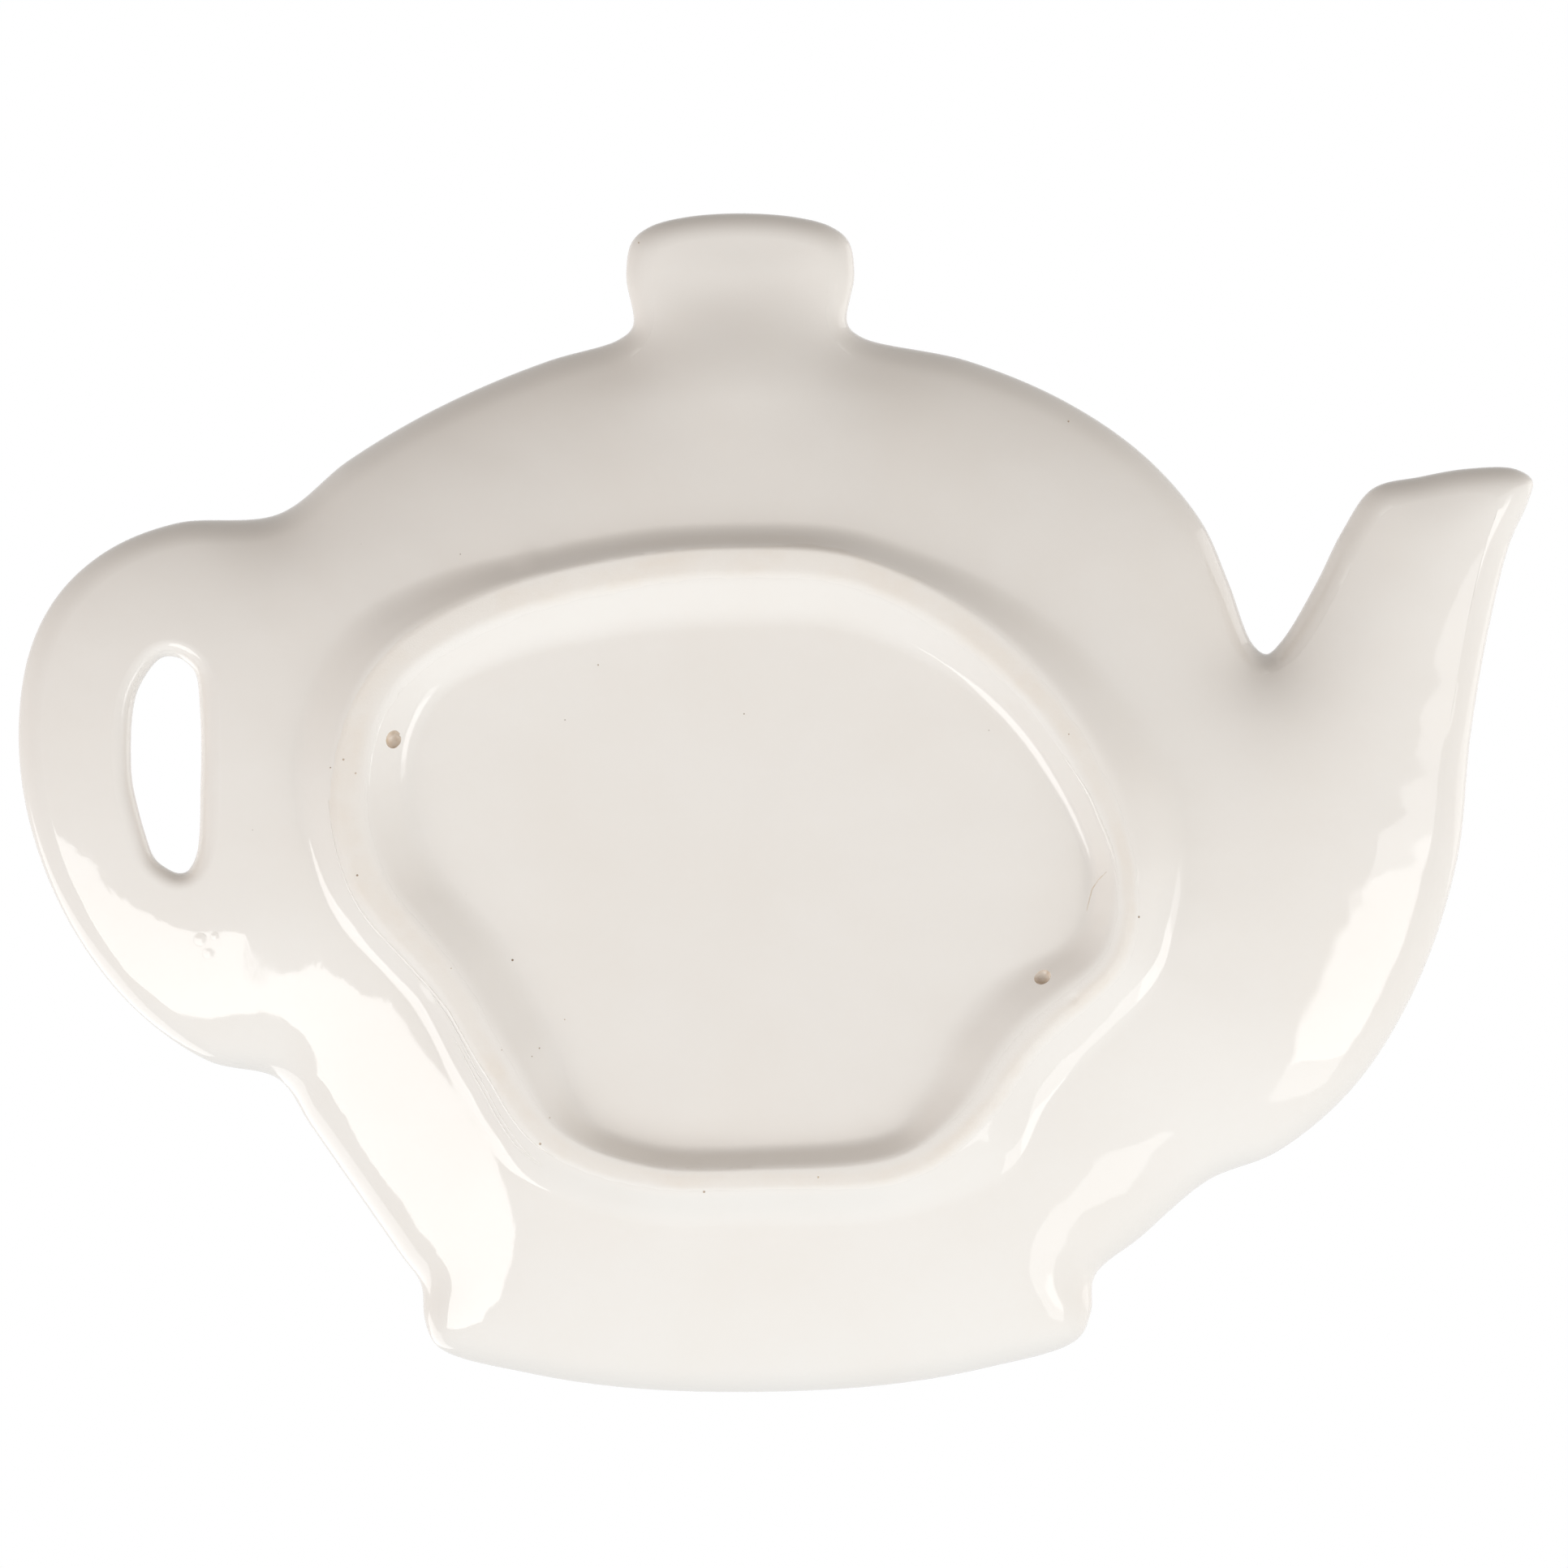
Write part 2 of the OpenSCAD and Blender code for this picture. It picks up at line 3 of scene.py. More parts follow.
import bmesh
import bpy
import numpy as np
from bpy.props import FloatProperty, FloatVectorProperty, PointerProperty
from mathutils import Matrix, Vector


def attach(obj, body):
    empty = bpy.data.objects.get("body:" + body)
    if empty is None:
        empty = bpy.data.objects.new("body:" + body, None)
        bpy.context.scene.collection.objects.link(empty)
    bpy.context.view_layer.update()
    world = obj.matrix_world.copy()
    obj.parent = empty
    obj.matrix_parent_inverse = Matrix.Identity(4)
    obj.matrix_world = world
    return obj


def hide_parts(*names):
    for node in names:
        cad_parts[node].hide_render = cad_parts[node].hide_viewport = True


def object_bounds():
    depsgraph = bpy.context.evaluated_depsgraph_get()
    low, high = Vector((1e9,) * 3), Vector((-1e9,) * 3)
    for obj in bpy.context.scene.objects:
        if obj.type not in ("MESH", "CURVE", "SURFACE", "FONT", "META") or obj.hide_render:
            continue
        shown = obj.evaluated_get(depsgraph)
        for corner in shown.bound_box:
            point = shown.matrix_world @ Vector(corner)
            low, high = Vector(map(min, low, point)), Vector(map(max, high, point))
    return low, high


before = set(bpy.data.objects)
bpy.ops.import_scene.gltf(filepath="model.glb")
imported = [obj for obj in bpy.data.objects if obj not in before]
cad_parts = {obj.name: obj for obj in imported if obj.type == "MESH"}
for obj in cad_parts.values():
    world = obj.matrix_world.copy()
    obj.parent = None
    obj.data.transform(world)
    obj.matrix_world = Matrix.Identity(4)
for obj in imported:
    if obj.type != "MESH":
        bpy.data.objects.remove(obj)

bl_info = {
    "name": "Tea bag rest",
    "version": (1, 0, 0),
    "blender": (4, 5, 0),
    "location": "3D View > Sidebar > Tea bag rest",
    "description": "A glazed dish in the outline of a teapot, on a dry foot ring",
    "category": "Add Mesh",
}

CAD_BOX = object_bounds()
MM = 0.001
# The photograph's frame: its size in pixels, the millimetres to a pixel, and the pixel of the model's origin
PHOTO_PX = 1932
PX_MM = 120 / 1864
PHOTO_AXIS_PX = (956, 989)
# How finely the dish is drawn: rows outside the ring, across it and on to its centre on the underside and on the
# front, points along the handle's root, rows from there to the eye, and rows over a rounded edge
UNDER_ROWS, FRONT_ROWS = (26, 70, 8), (14, 8, 6)
HANDLE_ROOT_POINTS, HANDLE_ROWS, EDGE_ROWS = 57, 15, 9


def length(name, description, mm):
    """A size that is written in millimetres and kept in metres"""
    return FloatProperty(name=name, description=description, default=mm * MM, unit="LENGTH",
                         subtype="DISTANCE", precision=5)


def number(name, description, value):
    """A plain number"""
    return FloatProperty(name=name, description=description, default=value, precision=3)


def angle(name, description, degrees):
    """An angle that is written in degrees"""
    return FloatProperty(name=name, description=description, default=math.radians(degrees),
                         unit="ROTATION", subtype="ANGLE")


def colour(name, description, rgb):
    """A linear colour"""
    return FloatVectorProperty(name=name, description=description, default=(*rgb, 1), size=4,
                               subtype="COLOR", min=0, max=1)


class RestOutline(bpy.types.PropertyGroup):
    """Sizes of the teapot's outline, from the body's axis and belt line"""
    dome_handle_w: length("Dome, handle side", "Reach of the dome's curve past the handle's roots", 6)
    dome_handle_h: length("Dome height, handle side", "Height of the dome's curve on the handle side", 25.3)
    dome_handle_n: number("Dome roundness", "Roundness of the dome on the handle side", 1.6)
    dome_spout_w: length("Dome, spout side", "Reach of the dome's curve on the spout side", 37.9)
    dome_spout_h: length("Dome height, spout side", "Height of the dome's curve on the spout side", 24.3)
    knob_w: length("Knob width", "Width of the lid knob at its bulge", 18.1)
    knob_neck_w: length("Neck width", "Width of the knob's neck", 17)
    knob_h: length("Knob height", "Height of the knob above the dome", 9.9)
    knob_x: length("Knob offset", "How far the knob stands off the body's axis", 1.4)
    knob_round: length("Knob corners", "Radius of the knob's upper corners", 1.8)
    knob_crown: length("Knob crown", "Crown of the knob's top edge", 1.1)
    neck_round: length("Neck hollow", "Radius of the hollow between neck and dome", 1.1)
    spout_reach: length("Spout reach", "Reach of the spout's tip from the body's axis", 61.4)
    spout_top: length("Mouth height", "Height of the spout's mouth above the belt line", 13.3)
    mouth_w: length("Mouth width", "Width of the spout's mouth", 12.7)
    mouth_slope: length("Mouth slope", "Drop of the mouth towards the dome", 1.6)
    tip_round: length("Tip radius", "Radius of the spout's tip", 1.4)
    spout_bow: length("Spout hollow", "Hollow of the spout's outer edge", 0.6)
    notch_x: length("Notch distance", "Distance of the notch from the body's axis", 40.3)
    notch_drop: length("Notch depth", "Depth of the notch below the belt line", 1.4)
    notch_round: length("Notch radius", "Radius of the notch", 1)
    belly_reach: length("Belly reach", "Reach of the belly under the spout", 56.5)
    belly_start: length("Belly start", "Depth at which the belly starts", 7.8)
    belly_x: length("Belly centre", "Distance of the belly's centre from the axis", 35)
    belly_drop: length("Belly depth", "Depth of the belly's lowest curve", 42.6)
    belly_n: number("Belly roundness", "Roundness of the belly", 1.9)
    base_w: length("Base width", "Width of the base", 52.8)
    base_drop: length("Base depth", "Depth of the base's lowest point", 59.9)
    base_h: length("Base height", "Height of the base's side", 8.9)
    base_round: length("Base corners", "Radius of the base's lower corners", 3.6)
    base_crown: length("Base crown", "Crown of the base's lower edge", 1.7)
    base_tilt: angle("Base tilt", "Tilt of the base's lower edge", 0.7)
    handle_reach: length("Handle reach", "Reach of the handle from the body's axis", 58.6)
    handle_root: length("Handle depth", "Distance of the handle's roots from its outer edge", 20.6)
    handle_top: length("Upper root", "Height of the handle's upper root", 9.7)
    handle_mid: length("Handle middle", "Depth of the handle's widest point", 8.5)
    handle_drop: length("Lower root", "Depth of the handle's lower root", 35.1)
    handle_top_n: number("Upper squareness", "Squareness of the handle's upper corner", 2.5)
    handle_low_n: number("Lower squareness", "Squareness of the handle's lower corner", 1.8)


class RestDish(bpy.types.PropertyGroup):
    """Sizes of the clay between underside and front"""
    wall: length("Wall", "Thickness of the clay, measured upright", 4)
    rise: length("Rise", "How far the rim stands above the flat of the dish", 6.8)
    hollow: number("Hollow", "How hollow the wall is between ring and rim", 2)
    knob_fill: number("Knob fill", "Share of the hollow that is filled under the knob", 0.7)
    lip_under: length("Lip height", "Height of the rim's rounding on the underside", 1.8)
    lip_w: length("Lip width", "Width of the rim's rounding", 1.8)
    eye_w: length("Eye width", "Width of the eye through the handle", 5.7)
    eye_h: length("Eye height", "Height of the eye", 17.1)
    eye_strip: length("Handle strip", "Width of the handle outside the eye", 8.9)
    eye_drop: length("Eye depth", "Depth of the eye's centre below the belt line", 10.2)
    eye_round: length("Eye rounding", "Width of the rounding of the eye's edges", 1.5)
    wave: length("Glaze wave", "Typical height of the glaze's slow waves", 0.012)


class RestFoot(bpy.types.PropertyGroup):
    """Sizes of the foot ring and its vents"""
    ring_w: length("Ring width", "Width of the ring at the middle of its face", 64)
    ring_h: length("Ring depth", "Depth of the ring at the middle of its face", 49.2)
    ring_x: length("Ring place", "Distance of the ring's face from the handle's roots", 4.5)
    ring_drop: length("Ring centre", "Depth of the ring's centre below the belt line", 18.1)
    foot_h: length("Foot height", "Height of the ring under the dish", 2.2)
    glaze_stop: length("Glaze stop", "How far the glaze stays above the rest face", 0.07)
    dry_rag: length("Ragged edge", "Typical raggedness of the dry face's edges", 0.11)
    vent_d: length("Vent width", "Diameter of the two blind vents", 1.5)
    vent_z: length("Vent end", "Height of the vents' blind ends", 1.45)
    vent_handle: length("Handle vent", "How far the end of the vent by the handle stays inside the ring", 2.55)
    vent_spout: length("Spout vent", "How far the end of the vent by the spout stays inside the ring", 3.35)
    vent_lean: angle("Vent lean", "Angle of the vents against the upright", 60)
    vent_turn: angle("Vent line", "Direction of the line through both vents", 20)


class RestFinish(bpy.types.PropertyGroup):
    """Colours of the finishes"""
    glaze: colour("Glaze", "Warm white of the glaze", (0.80, 0.755, 0.71))
    glaze_thin: colour("Thin glaze", "Glaze where the clay shows through", (0.74, 0.66, 0.58))
    clay: colour("Dry clay", "Unglazed clay of the foot's face", (0.79, 0.738, 0.685))
    clay_stain: colour("Stained clay", "Darker patches of the dry clay", (0.765, 0.69, 0.615))
    # The vent colour is a brown, darker than the glaze, for the inside of the vents
    vent: colour("Vent", "Glaze pooled inside the vents", (0.60, 0.48, 0.37))
    iron: colour("Iron", "Iron specks", (0.22, 0.15, 0.10))
    floor: colour("Floor", "Pale floor", (0.8, 0.8, 0.79))


def mix(a, b, t):
    """Straight mix of a and b"""
    return a + (b - a) * t


def ease(t):
    """Half a cosine wave from 0 to 1"""
    return (1 - np.cos(np.pi * np.clip(t, 0, 1))) / 2


def signed_pow(x, e):
    """Power of the size of x, with the sign of x"""
    return np.sign(x) * np.abs(x) ** e


def oval_y(x, a, b, n):
    """Height of a superellipse with half axes a and b: b (1 - |x/a|^n)^(1/n)"""
    return b * (1 - (np.abs(x) / a) ** n) ** (1 / n)


def oval_points(a, b, n, degrees):
    """Points of a superellipse at the given angles"""
    t = np.radians(degrees)
    return np.stack([a * signed_pow(np.cos(t), 2 / n), b * signed_pow(np.sin(t), 2 / n)], axis=-1)


def unit(v):
    """Vectors brought to length 1"""
    return v / np.linalg.norm(v, axis=-1, keepdims=True)


def closed_spline(points, steps):
    """Closed smooth curve with steps[i] samples from point i on; its knots follow the root of the distance"""
    span = np.repeat(np.arange(len(points)), steps)
    first = np.repeat(np.cumsum(steps) - steps, steps)
    f = ((np.arange(len(span)) - first) / steps[span])[:, None]
    p0, p1, p2, p3 = [np.roll(points, s, axis=0)[span] for s in (1, 0, -1, -2)]
    gaps = [np.sqrt(np.linalg.norm(b - a, axis=1, keepdims=True)) for a, b in ((p0, p1), (p1, p2), (p2, p3))]
    k1, k2, k3 = np.cumsum(gaps, axis=0)
    t = mix(k1, k2, f)
    a1 = mix(p0, p1, t / k1)
    a2 = mix(p1, p2, (t - k1) / (k2 - k1))
    a3 = mix(p2, p3, (t - k2) / (k3 - k2))
    b1 = mix(a1, a2, t / k2)
    b2 = mix(a2, a3, (t - k1) / (k3 - k1))
    return mix(b1, b2, (t - k1) / (k2 - k1))


def smooth_distance(points, line):
    """Smooth distance to a closed line: 1 / sqrt(half the integral along it of the inverse cube of the distance)"""
    ends = np.vstack([line, line[:1]])
    along = unit(np.diff(ends, axis=0))
    tiny = 1e-9
    out = np.empty(len(points))
    for part in np.array_split(np.arange(len(points)), max(1, len(points) // 1500)):
        to = ends[None] - points[part, None]
        far = np.maximum(np.linalg.norm(to, axis=2), tiny)
        t1 = np.einsum("ijk,jk->ij", to[:, :-1], along)
        t2 = np.einsum("ijk,jk->ij", to[:, 1:], along)
        off = np.maximum(far[:, :-1] ** 2 - t1 ** 2, tiny ** 2)
        out[part] = 1 / np.sqrt(((t2 / far[:, 1:] - t1 / far[:, :-1]) / off).sum(axis=1) / 2)
    return out


def traced_rows(line, levels, inward):
    """Rows of points that leave a closed line at right angles, at the given smooth distances from it"""
    way = unit(np.roll(line, -1, axis=0) - np.roll(line, 1, axis=0))
    go = np.stack([-way[:, 1], way[:, 0]], axis=1) * (1 if inward else -1)
    rows = [line]
    step = 0.01 * MM
    for before, level in zip(levels, levels[1:]):
        p = rows[-1] + go * (level - before)
        here, east, north = np.split(smooth_distance(
            np.vstack([p, p + [step, 0], p + [0, step]]), line), 3)
        slope = np.stack([east - here, north - here], axis=1) / step
        p = p + slope * ((level - here) / (slope ** 2).sum(axis=1))[:, None]
        go = unit(slope)
        rows.append(p)
    return np.array(rows)


def edge_round(d, w, h):
    """Quarter round of an edge of width w and height h, at the distance d from the edge"""
    return h * (1 - np.sqrt(1 - np.clip(1 - d / w, 0, 1) ** 2))


def knob_points(o, foot, foot_spout):
    """Anchors of the lid knob; each side stands on its own foot and both meet at the top"""
    half = np.array([
        [o.knob_neck_w / 2, o.neck_round],
        [o.knob_w / 2, o.knob_h / 2],
        [o.knob_w / 2 - 0.25 * o.knob_round, o.knob_h - o.knob_crown - 0.65 * o.knob_round],
        [o.knob_w / 2 - o.knob_round, o.knob_h - o.knob_crown],
        [o.knob_w / 4, o.knob_h - 0.3 * o.knob_crown]])
    top = (foot[1] + foot_spout[1]) / 2

    def side(way, base, pts):
        rise = mix(base[1], top, pts[:, 1] / o.knob_h) + pts[:, 1]
        return np.stack([o.knob_x + way * pts[:, 0], rise], axis=1)
    return np.vstack([foot, side(1, foot, half), [o.knob_x, top + o.knob_h], side(-1, foot_spout, half[::-1])])


def spout_points(o):
    """Anchors of the spout, from the notch over its mouth and tip to the belly"""
    notch = np.array([-o.notch_x, -o.notch_drop])
    tip = np.array([-o.spout_reach, o.spout_top - 0.7 * o.tip_round])
    mouth = np.array([-o.spout_reach + o.mouth_w, o.spout_top - o.mouth_slope])
    edge = notch + o.notch_round * np.array([-1.25, 1.1])
    belly = np.array([-o.belly_reach, -o.belly_start])
    return np.vstack([
        notch, edge, mix(edge, mouth, 0.38), mix(edge, mouth, 0.72) + [0.4 * o.notch_round, 0], mouth,
        [mix(mouth[0], tip[0], 0.3), o.spout_top - 0.4 * o.mouth_slope],
        [mix(mouth[0], tip[0], 0.6), o.spout_top],
        tip + o.tip_round * np.array([1, 0.68]), tip, tip + o.tip_round * np.array([0.25, -1.2]),
        mix(tip, belly, 0.25) + [o.spout_bow, 0], mix(tip, belly, 0.6) + [o.spout_bow, 0]])


def base_points(o):
    """Anchors of the flared base, spout side first"""
    half = np.array([
        [0.506 * o.base_w, o.base_h],
        [o.base_w / 2, 0.674 * o.base_h],
        [o.base_w / 2 - 0.3 * o.base_round, o.base_crown + 0.6 * o.base_round],
        [o.base_w / 2 - 2.3 * o.base_round, o.base_crown],
        [0.19 * o.base_w, 0.25 * o.base_crown]])
    flat = np.vstack([half * [-1, 1], [0, 0], half[::-1]])
    return flat - np.stack([0 * flat[:, 0], o.base_drop + math.tan(o.base_tilt) * flat[:, 0]], axis=1)


def handle_points(o, root_x):
    """Anchors of the handle, from its lower root round to its upper root"""
    middle = np.array([root_x, -o.handle_mid])
    low = oval_points(o.handle_root, o.handle_drop - o.handle_mid, o.handle_low_n, [72, 54, 36, 18])
    top = oval_points(o.handle_root, o.handle_top + o.handle_mid, o.handle_top_n, [18, 36, 54, 72])
    return np.vstack([[root_x, -o.handle_drop], middle + low * [1, -1], middle + [o.handle_root, 0], middle + top])


def outline_parts(o):
    """Anchors of the outline, part by part, counterclockwise from the handle's upper root"""
    root_x = o.handle_reach - o.handle_root

    def dome_handle_y(x):
        return oval_y(x, root_x + o.dome_handle_w, o.dome_handle_h, o.dome_handle_n)

    neck_x = o.knob_neck_w / 2 + o.neck_round
    x = mix(root_x, o.knob_x + neck_x, np.arange(5) / 5)
    dome_handle = np.stack([x, dome_handle_y(x)], axis=1)
    dome_handle[0, 1] = o.handle_top
    foot = np.array([o.knob_x + neck_x, dome_handle_y(o.knob_x + neck_x)])
    foot_spout = np.array([o.knob_x - neck_x, oval_y(o.knob_x - neck_x, o.dome_spout_w, o.dome_spout_h, 2)])
    spout = spout_points(o)
    t = np.radians([26, 40, 54, 68, 80])
    dome_spout = np.vstack([
        foot_spout, np.stack([-o.dome_spout_w * np.sin(t), o.dome_spout_h * np.cos(t)], axis=1),
        spout[0] + o.notch_round * np.array([1.1, 0.8])])
    belly = np.vstack([
        [-o.belly_reach, -o.belly_start],
        np.array([-o.belly_x, -o.belly_start]) - oval_points(
            o.belly_reach - o.belly_x, o.belly_drop - o.belly_start, o.belly_n, [18, 36, 54, 72]),
        [-1.02 * o.belly_x, -1.012 * o.belly_drop]])
    base = base_points(o)
    handle = handle_points(o, root_x)
    flank = mix(base[-1], handle[0], np.array([[0.15], [0.45], [0.78]]))
    return {
        "dome_handle": dome_handle, "knob": knob_points(o, foot, foot_spout), "dome_spout": dome_spout,
        "spout": spout, "belly": belly, "waist": mix(belly[-1:], base[:1], 0.6), "base": base,
        "flank": flank, "handle": handle}


# The middle of the ring's face, in shares of the ring's half width and half depth
RING_SHAPE = np.array([
    [0, 0.985], [0.3, 0.95], [0.62, 0.835], [0.87, 0.62], [0.968, 0.3], [0.925, -0.05], [0.73, -0.38],
    [0.595, -0.65], [0.465, -0.88], [0.24, -1], [-0.05, -1.01], [-0.4, -0.97], [-0.58, -0.82], [-0.74, -0.57],
    [-0.95, -0.3], [-0.965, -0.04], [-0.855, 0.335], [-0.62, 0.72], [-0.3, 0.95]])
# The eye's outline as shares of its half width and half height: straighter on the body side, its foot drawn towards it
EYE_SHAPE = ((0.97, 0.1), (0.94, 0.42), (0.83, 0.64), (0.52, 0.85), (0.15, 0.985), (-0.2, 1), (-0.54, 0.955),
             (-0.85, 0.82), (-0.95, 0.5), (-0.985, 0.15), (-0.96, -0.3), (-0.94, -0.6), (-0.86, -0.82), (-0.65, -0.965),
             (-0.4, -1), (-0.05, -0.96), (0.34, -0.845), (0.58, -0.63), (0.8, -0.36), (0.93, -0.15))
# The ring's section by direction: degrees from the handle side, then millimetres from the ring's middle line to
# the outer wall, the outer wall's width, from the middle line to the inner wall, the inner wall's width, and from
# the middle line to the outer and the inner edge of the dry face
RING_SECTION = np.array([
    [-180, 0.1, 4.7, 0.8, 2.3, 0.7, 1.0], [-172, -0.6, 4.1, 1.2, 2.9, 0.4, 1.2], [-162, -0.7, 4.2, 1.4, 4.4, 0.5, 1.4],
    [-150, -0.4, 4.4, 1.5, 4.8, 0.6, 1.5], [-140, -0.5, 4.4, 1.4, 5.0, 0.7, 1.4], [-131, 0.0, 5.7, 1.0, 3.8, 0.8, 1.2],
    [-122, 0.5, 3.7, 0.8, 2.3, 0.9, 1.0], [-90, 0.5, 3.3, 0.7, 2.0, 0.9, 1.0], [-62, 0.5, 3.3, 0.8, 2.1, 0.9, 1.0],
    [-55, 0.6, 3.4, 0.8, 3.2, 1.0, 1.1], [-40, 0.5, 3.2, 1.0, 4.6, 1.0, 1.3], [-25, 0.3, 2.7, 1.1, 4.8, 0.8, 1.4],
    [0, 0.5, 3.1, 1.3, 5.0, 1.2, 1.6], [20, 0.6, 4.1, 1.0, 4.2, 1.1, 2.0], [32, 0.6, 4.4, 0.9, 3.8, 1.0, 2.0],
    [44, 0.6, 3.5, 0.9, 4.2, 0.9, 2.0], [54, 0.6, 2.4, 0.9, 4.6, 0.9, 1.9], [90, 0.6, 2.2, 0.9, 4.8, 0.9, 1.4],
    [120, 0.6, 2.4, 0.9, 4.3, 0.9, 1.6], [135, 0.6, 3.5, 0.9, 3.7, 0.9, 1.8], [152, 0.7, 4.7, 0.8, 3.1, 0.9, 1.75],
    [167, 0.8, 5.3, 0.8, 2.6, 0.9, 1.2]])
# Dabs of slip on the underside: their place in the photograph, their radius and their height in millimetres
DABS = np.array([
    [290, 1150, 5, 0.16], [652, 688, 0.8, 0.16], [640, 694, 0.5, 0.1], [1366, 1105, 1.6, 0.05],
    [1322, 1229, 0.35, -0.08]])


def at_px(px):
    """Points of the underside at the photograph's pixels"""
    return (np.array(PHOTO_AXIS_PX) - np.asarray(px, dtype=float)) * PX_MM * MM


class RestShape:
    """Plan and heights of the rest, in metres, worked out from the scene's sizes"""

    def __init__(self, scene):
        o, dish, foot = scene.rest_outline, scene.rest_dish, scene.rest_foot
        self.o, self.dish, self.foot = o, dish, foot
        parts = outline_parts(o)
        points = np.vstack(list(parts.values()))
        gaps = np.linalg.norm(np.roll(points, -1, axis=0) - points, axis=1)
        spacing, fewest, most = 0.55 * MM, 7, 24
        steps = np.clip(np.ceil(gaps / spacing), fewest, most).astype(int)
        first = dict(zip(parts, np.cumsum([0] + [len(p) for p in parts.values()])))
        self.knob_steps, self.spout_steps = 8, 10
        steps[first["knob"]:first["dome_spout"]] = self.knob_steps
        steps[first["spout"]:first["belly"]] = self.spout_steps
        starts = np.concatenate([[0], np.cumsum(steps)])
        self.at = {name: int(starts[i]) for name, i in first.items()}
        drawn = closed_spline(points, steps)
        self.shift = -(drawn.max(axis=0) + drawn.min(axis=0)) / 2
        self.outline = drawn + self.shift
        root_x = o.handle_reach - o.handle_root
        self.root_bow = (o.handle_root - dish.eye_strip - dish.eye_w) / 2
        self.knob_y = (parts["knob"][0, 1] + parts["dome_spout"][0, 1]) / 2 + self.shift[1]
        self.ring_c = np.array([root_x - foot.ring_x - foot.ring_w / 2, -foot.ring_drop]) + self.shift
        ring = closed_spline(RING_SHAPE * [foot.ring_w / 2, foot.ring_h / 2], np.full(len(RING_SHAPE), 16))
        self.ring_turns = np.arctan2(ring[:, 1], ring[:, 0])
        self.ring_radii = np.linalg.norm(ring, axis=1)
        eye = closed_spline(np.array(EYE_SHAPE), np.full(len(EYE_SHAPE), 12))
        self.eye_turns = np.arctan2(eye[:, 1], eye[:, 0])
        self.eye_radii = np.linalg.norm(eye, axis=1)
        self.section_turns = np.radians(np.arange(-180, 180))
        reach = 6
        soften = np.hanning(2 * reach + 1)
        sharp = [np.interp(self.section_turns, np.radians(RING_SECTION[:, 0]), column * MM, period=2 * np.pi)
                 for column in RING_SECTION.T[1:]]
        self.section = [sum(w * np.roll(s, k - reach) for k, w in enumerate(soften)) / soften.sum() for s in sharp]
        self.eye_c = np.array([o.handle_reach - dish.eye_strip - dish.eye_w / 2, -dish.eye_drop]) + self.shift
        waves, count, shortest, longest = np.random.default_rng(5), 60, 2.6, 9
        turn = waves.uniform(0, 2 * np.pi, count)
        pitch = waves.uniform(shortest, longest, count) * MM
        self.wave_vectors = 2 * np.pi / pitch * np.stack([np.cos(turn), np.sin(turn)])
        self.wave_phases = waves.uniform(0, 2 * np.pi, count)
        self.wave_heights = pitch / pitch.mean()

    def ring_r(self, t):
        """Radius of the middle of the ring's face at the angle t"""
        return np.interp(t, self.ring_turns, self.ring_radii, period=2 * np.pi)

    def ring_slant(self, t):
        """How much the ring's slant against the ray at the angle t lengthens a step along that ray"""
        step = math.radians(3)
        slope = (self.ring_r(t + step) - self.ring_r(t - step)) / (2 * step * self.ring_r(t))
        return np.sqrt(1 + slope ** 2)

    def ring_place(self, p):
        """Angle of the points about the ring's centre, and their distance outside the middle of its face"""
        v = p - self.ring_c
        t = np.arctan2(v[..., 1], v[..., 0])
        return t, (np.linalg.norm(v, axis=-1) - self.ring_r(t)) / self.ring_slant(t)

    def at_ring(self, t, e):
        """Points on the rays at the angles t, at the distance e outside the middle of the ring's face"""
        r = self.ring_r(t) + e * self.ring_slant(t)
        return self.ring_c + np.stack([r * np.cos(t), r * np.sin(t)], axis=-1)

    def eye_points(self, p):
        """Points of the eye's edge in the directions of p"""
        half = np.array([self.dish.eye_w, self.dish.eye_h]) / 2
        v = (p - self.eye_c) / half
        turn = np.arctan2(v[:, 1], v[:, 0])
        k = np.interp(turn, self.eye_turns, self.eye_radii, period=2 * np.pi)
        return self.eye_c + half * np.stack([k * np.cos(turn), k * np.sin(turn)], axis=1)

    def climb(self, p, d):
        """Share of the rise at the depth d behind the rim: q / (q + hollow d), q the way from the ring's wall, which
        leaves 0 in a soft bend"""
        wall_foot, bend = 2.6 * MM, 0.6 * MM
        e = self.ring_place(p)[1] - wall_foot
        q = (e + np.sqrt(e ** 2 + bend ** 2)) / 2
        knob = ease((p[..., 1] - self.knob_y) / self.o.knob_h + 0.5)
        return q / (q + self.dish.hollow * (1 - self.dish.knob_fill * knob) * d)

    def waves(self, p):
        """Slow waves of the glaze: a sum of plane waves with pitches of a few millimetres"""
        total = np.cos(p @ self.wave_vectors + self.wave_phases) @ self.wave_heights
        return self.dish.wave * total * math.sqrt(2 / len(self.wave_phases))

    def section_at(self, t):
        """The lengths of the ring's section in the direction t"""
        return [np.interp(t, self.section_turns, s, period=2 * np.pi) for s in self.section]

    def wall_share(self, t, e):
        """Share of the foot's height that is open below the ring's walls, whose slope is a trapezium across the wall:
        it grows over the first quarter, and dies out over half of it outside and four tenths inside"""
        face_out, wall_out, face_in, wall_in = self.section_at(t)[:4]
        x = np.maximum((e - face_out) / wall_out, (-e - face_in) / wall_in)
        x = np.clip(x, 0, 1)
        grow, die = 0.25, np.where(e > face_out, 0.5, 0.4)
        middle = np.clip(x - grow / 2, 0, None)
        share = np.where(x < grow, x ** 2 / (2 * grow), middle)
        share = np.where(x > 1 - die, 1 - (grow + die) / 2 - (1 - x) ** 2 / (2 * die), share)
        return share / (1 - (grow + die) / 2)

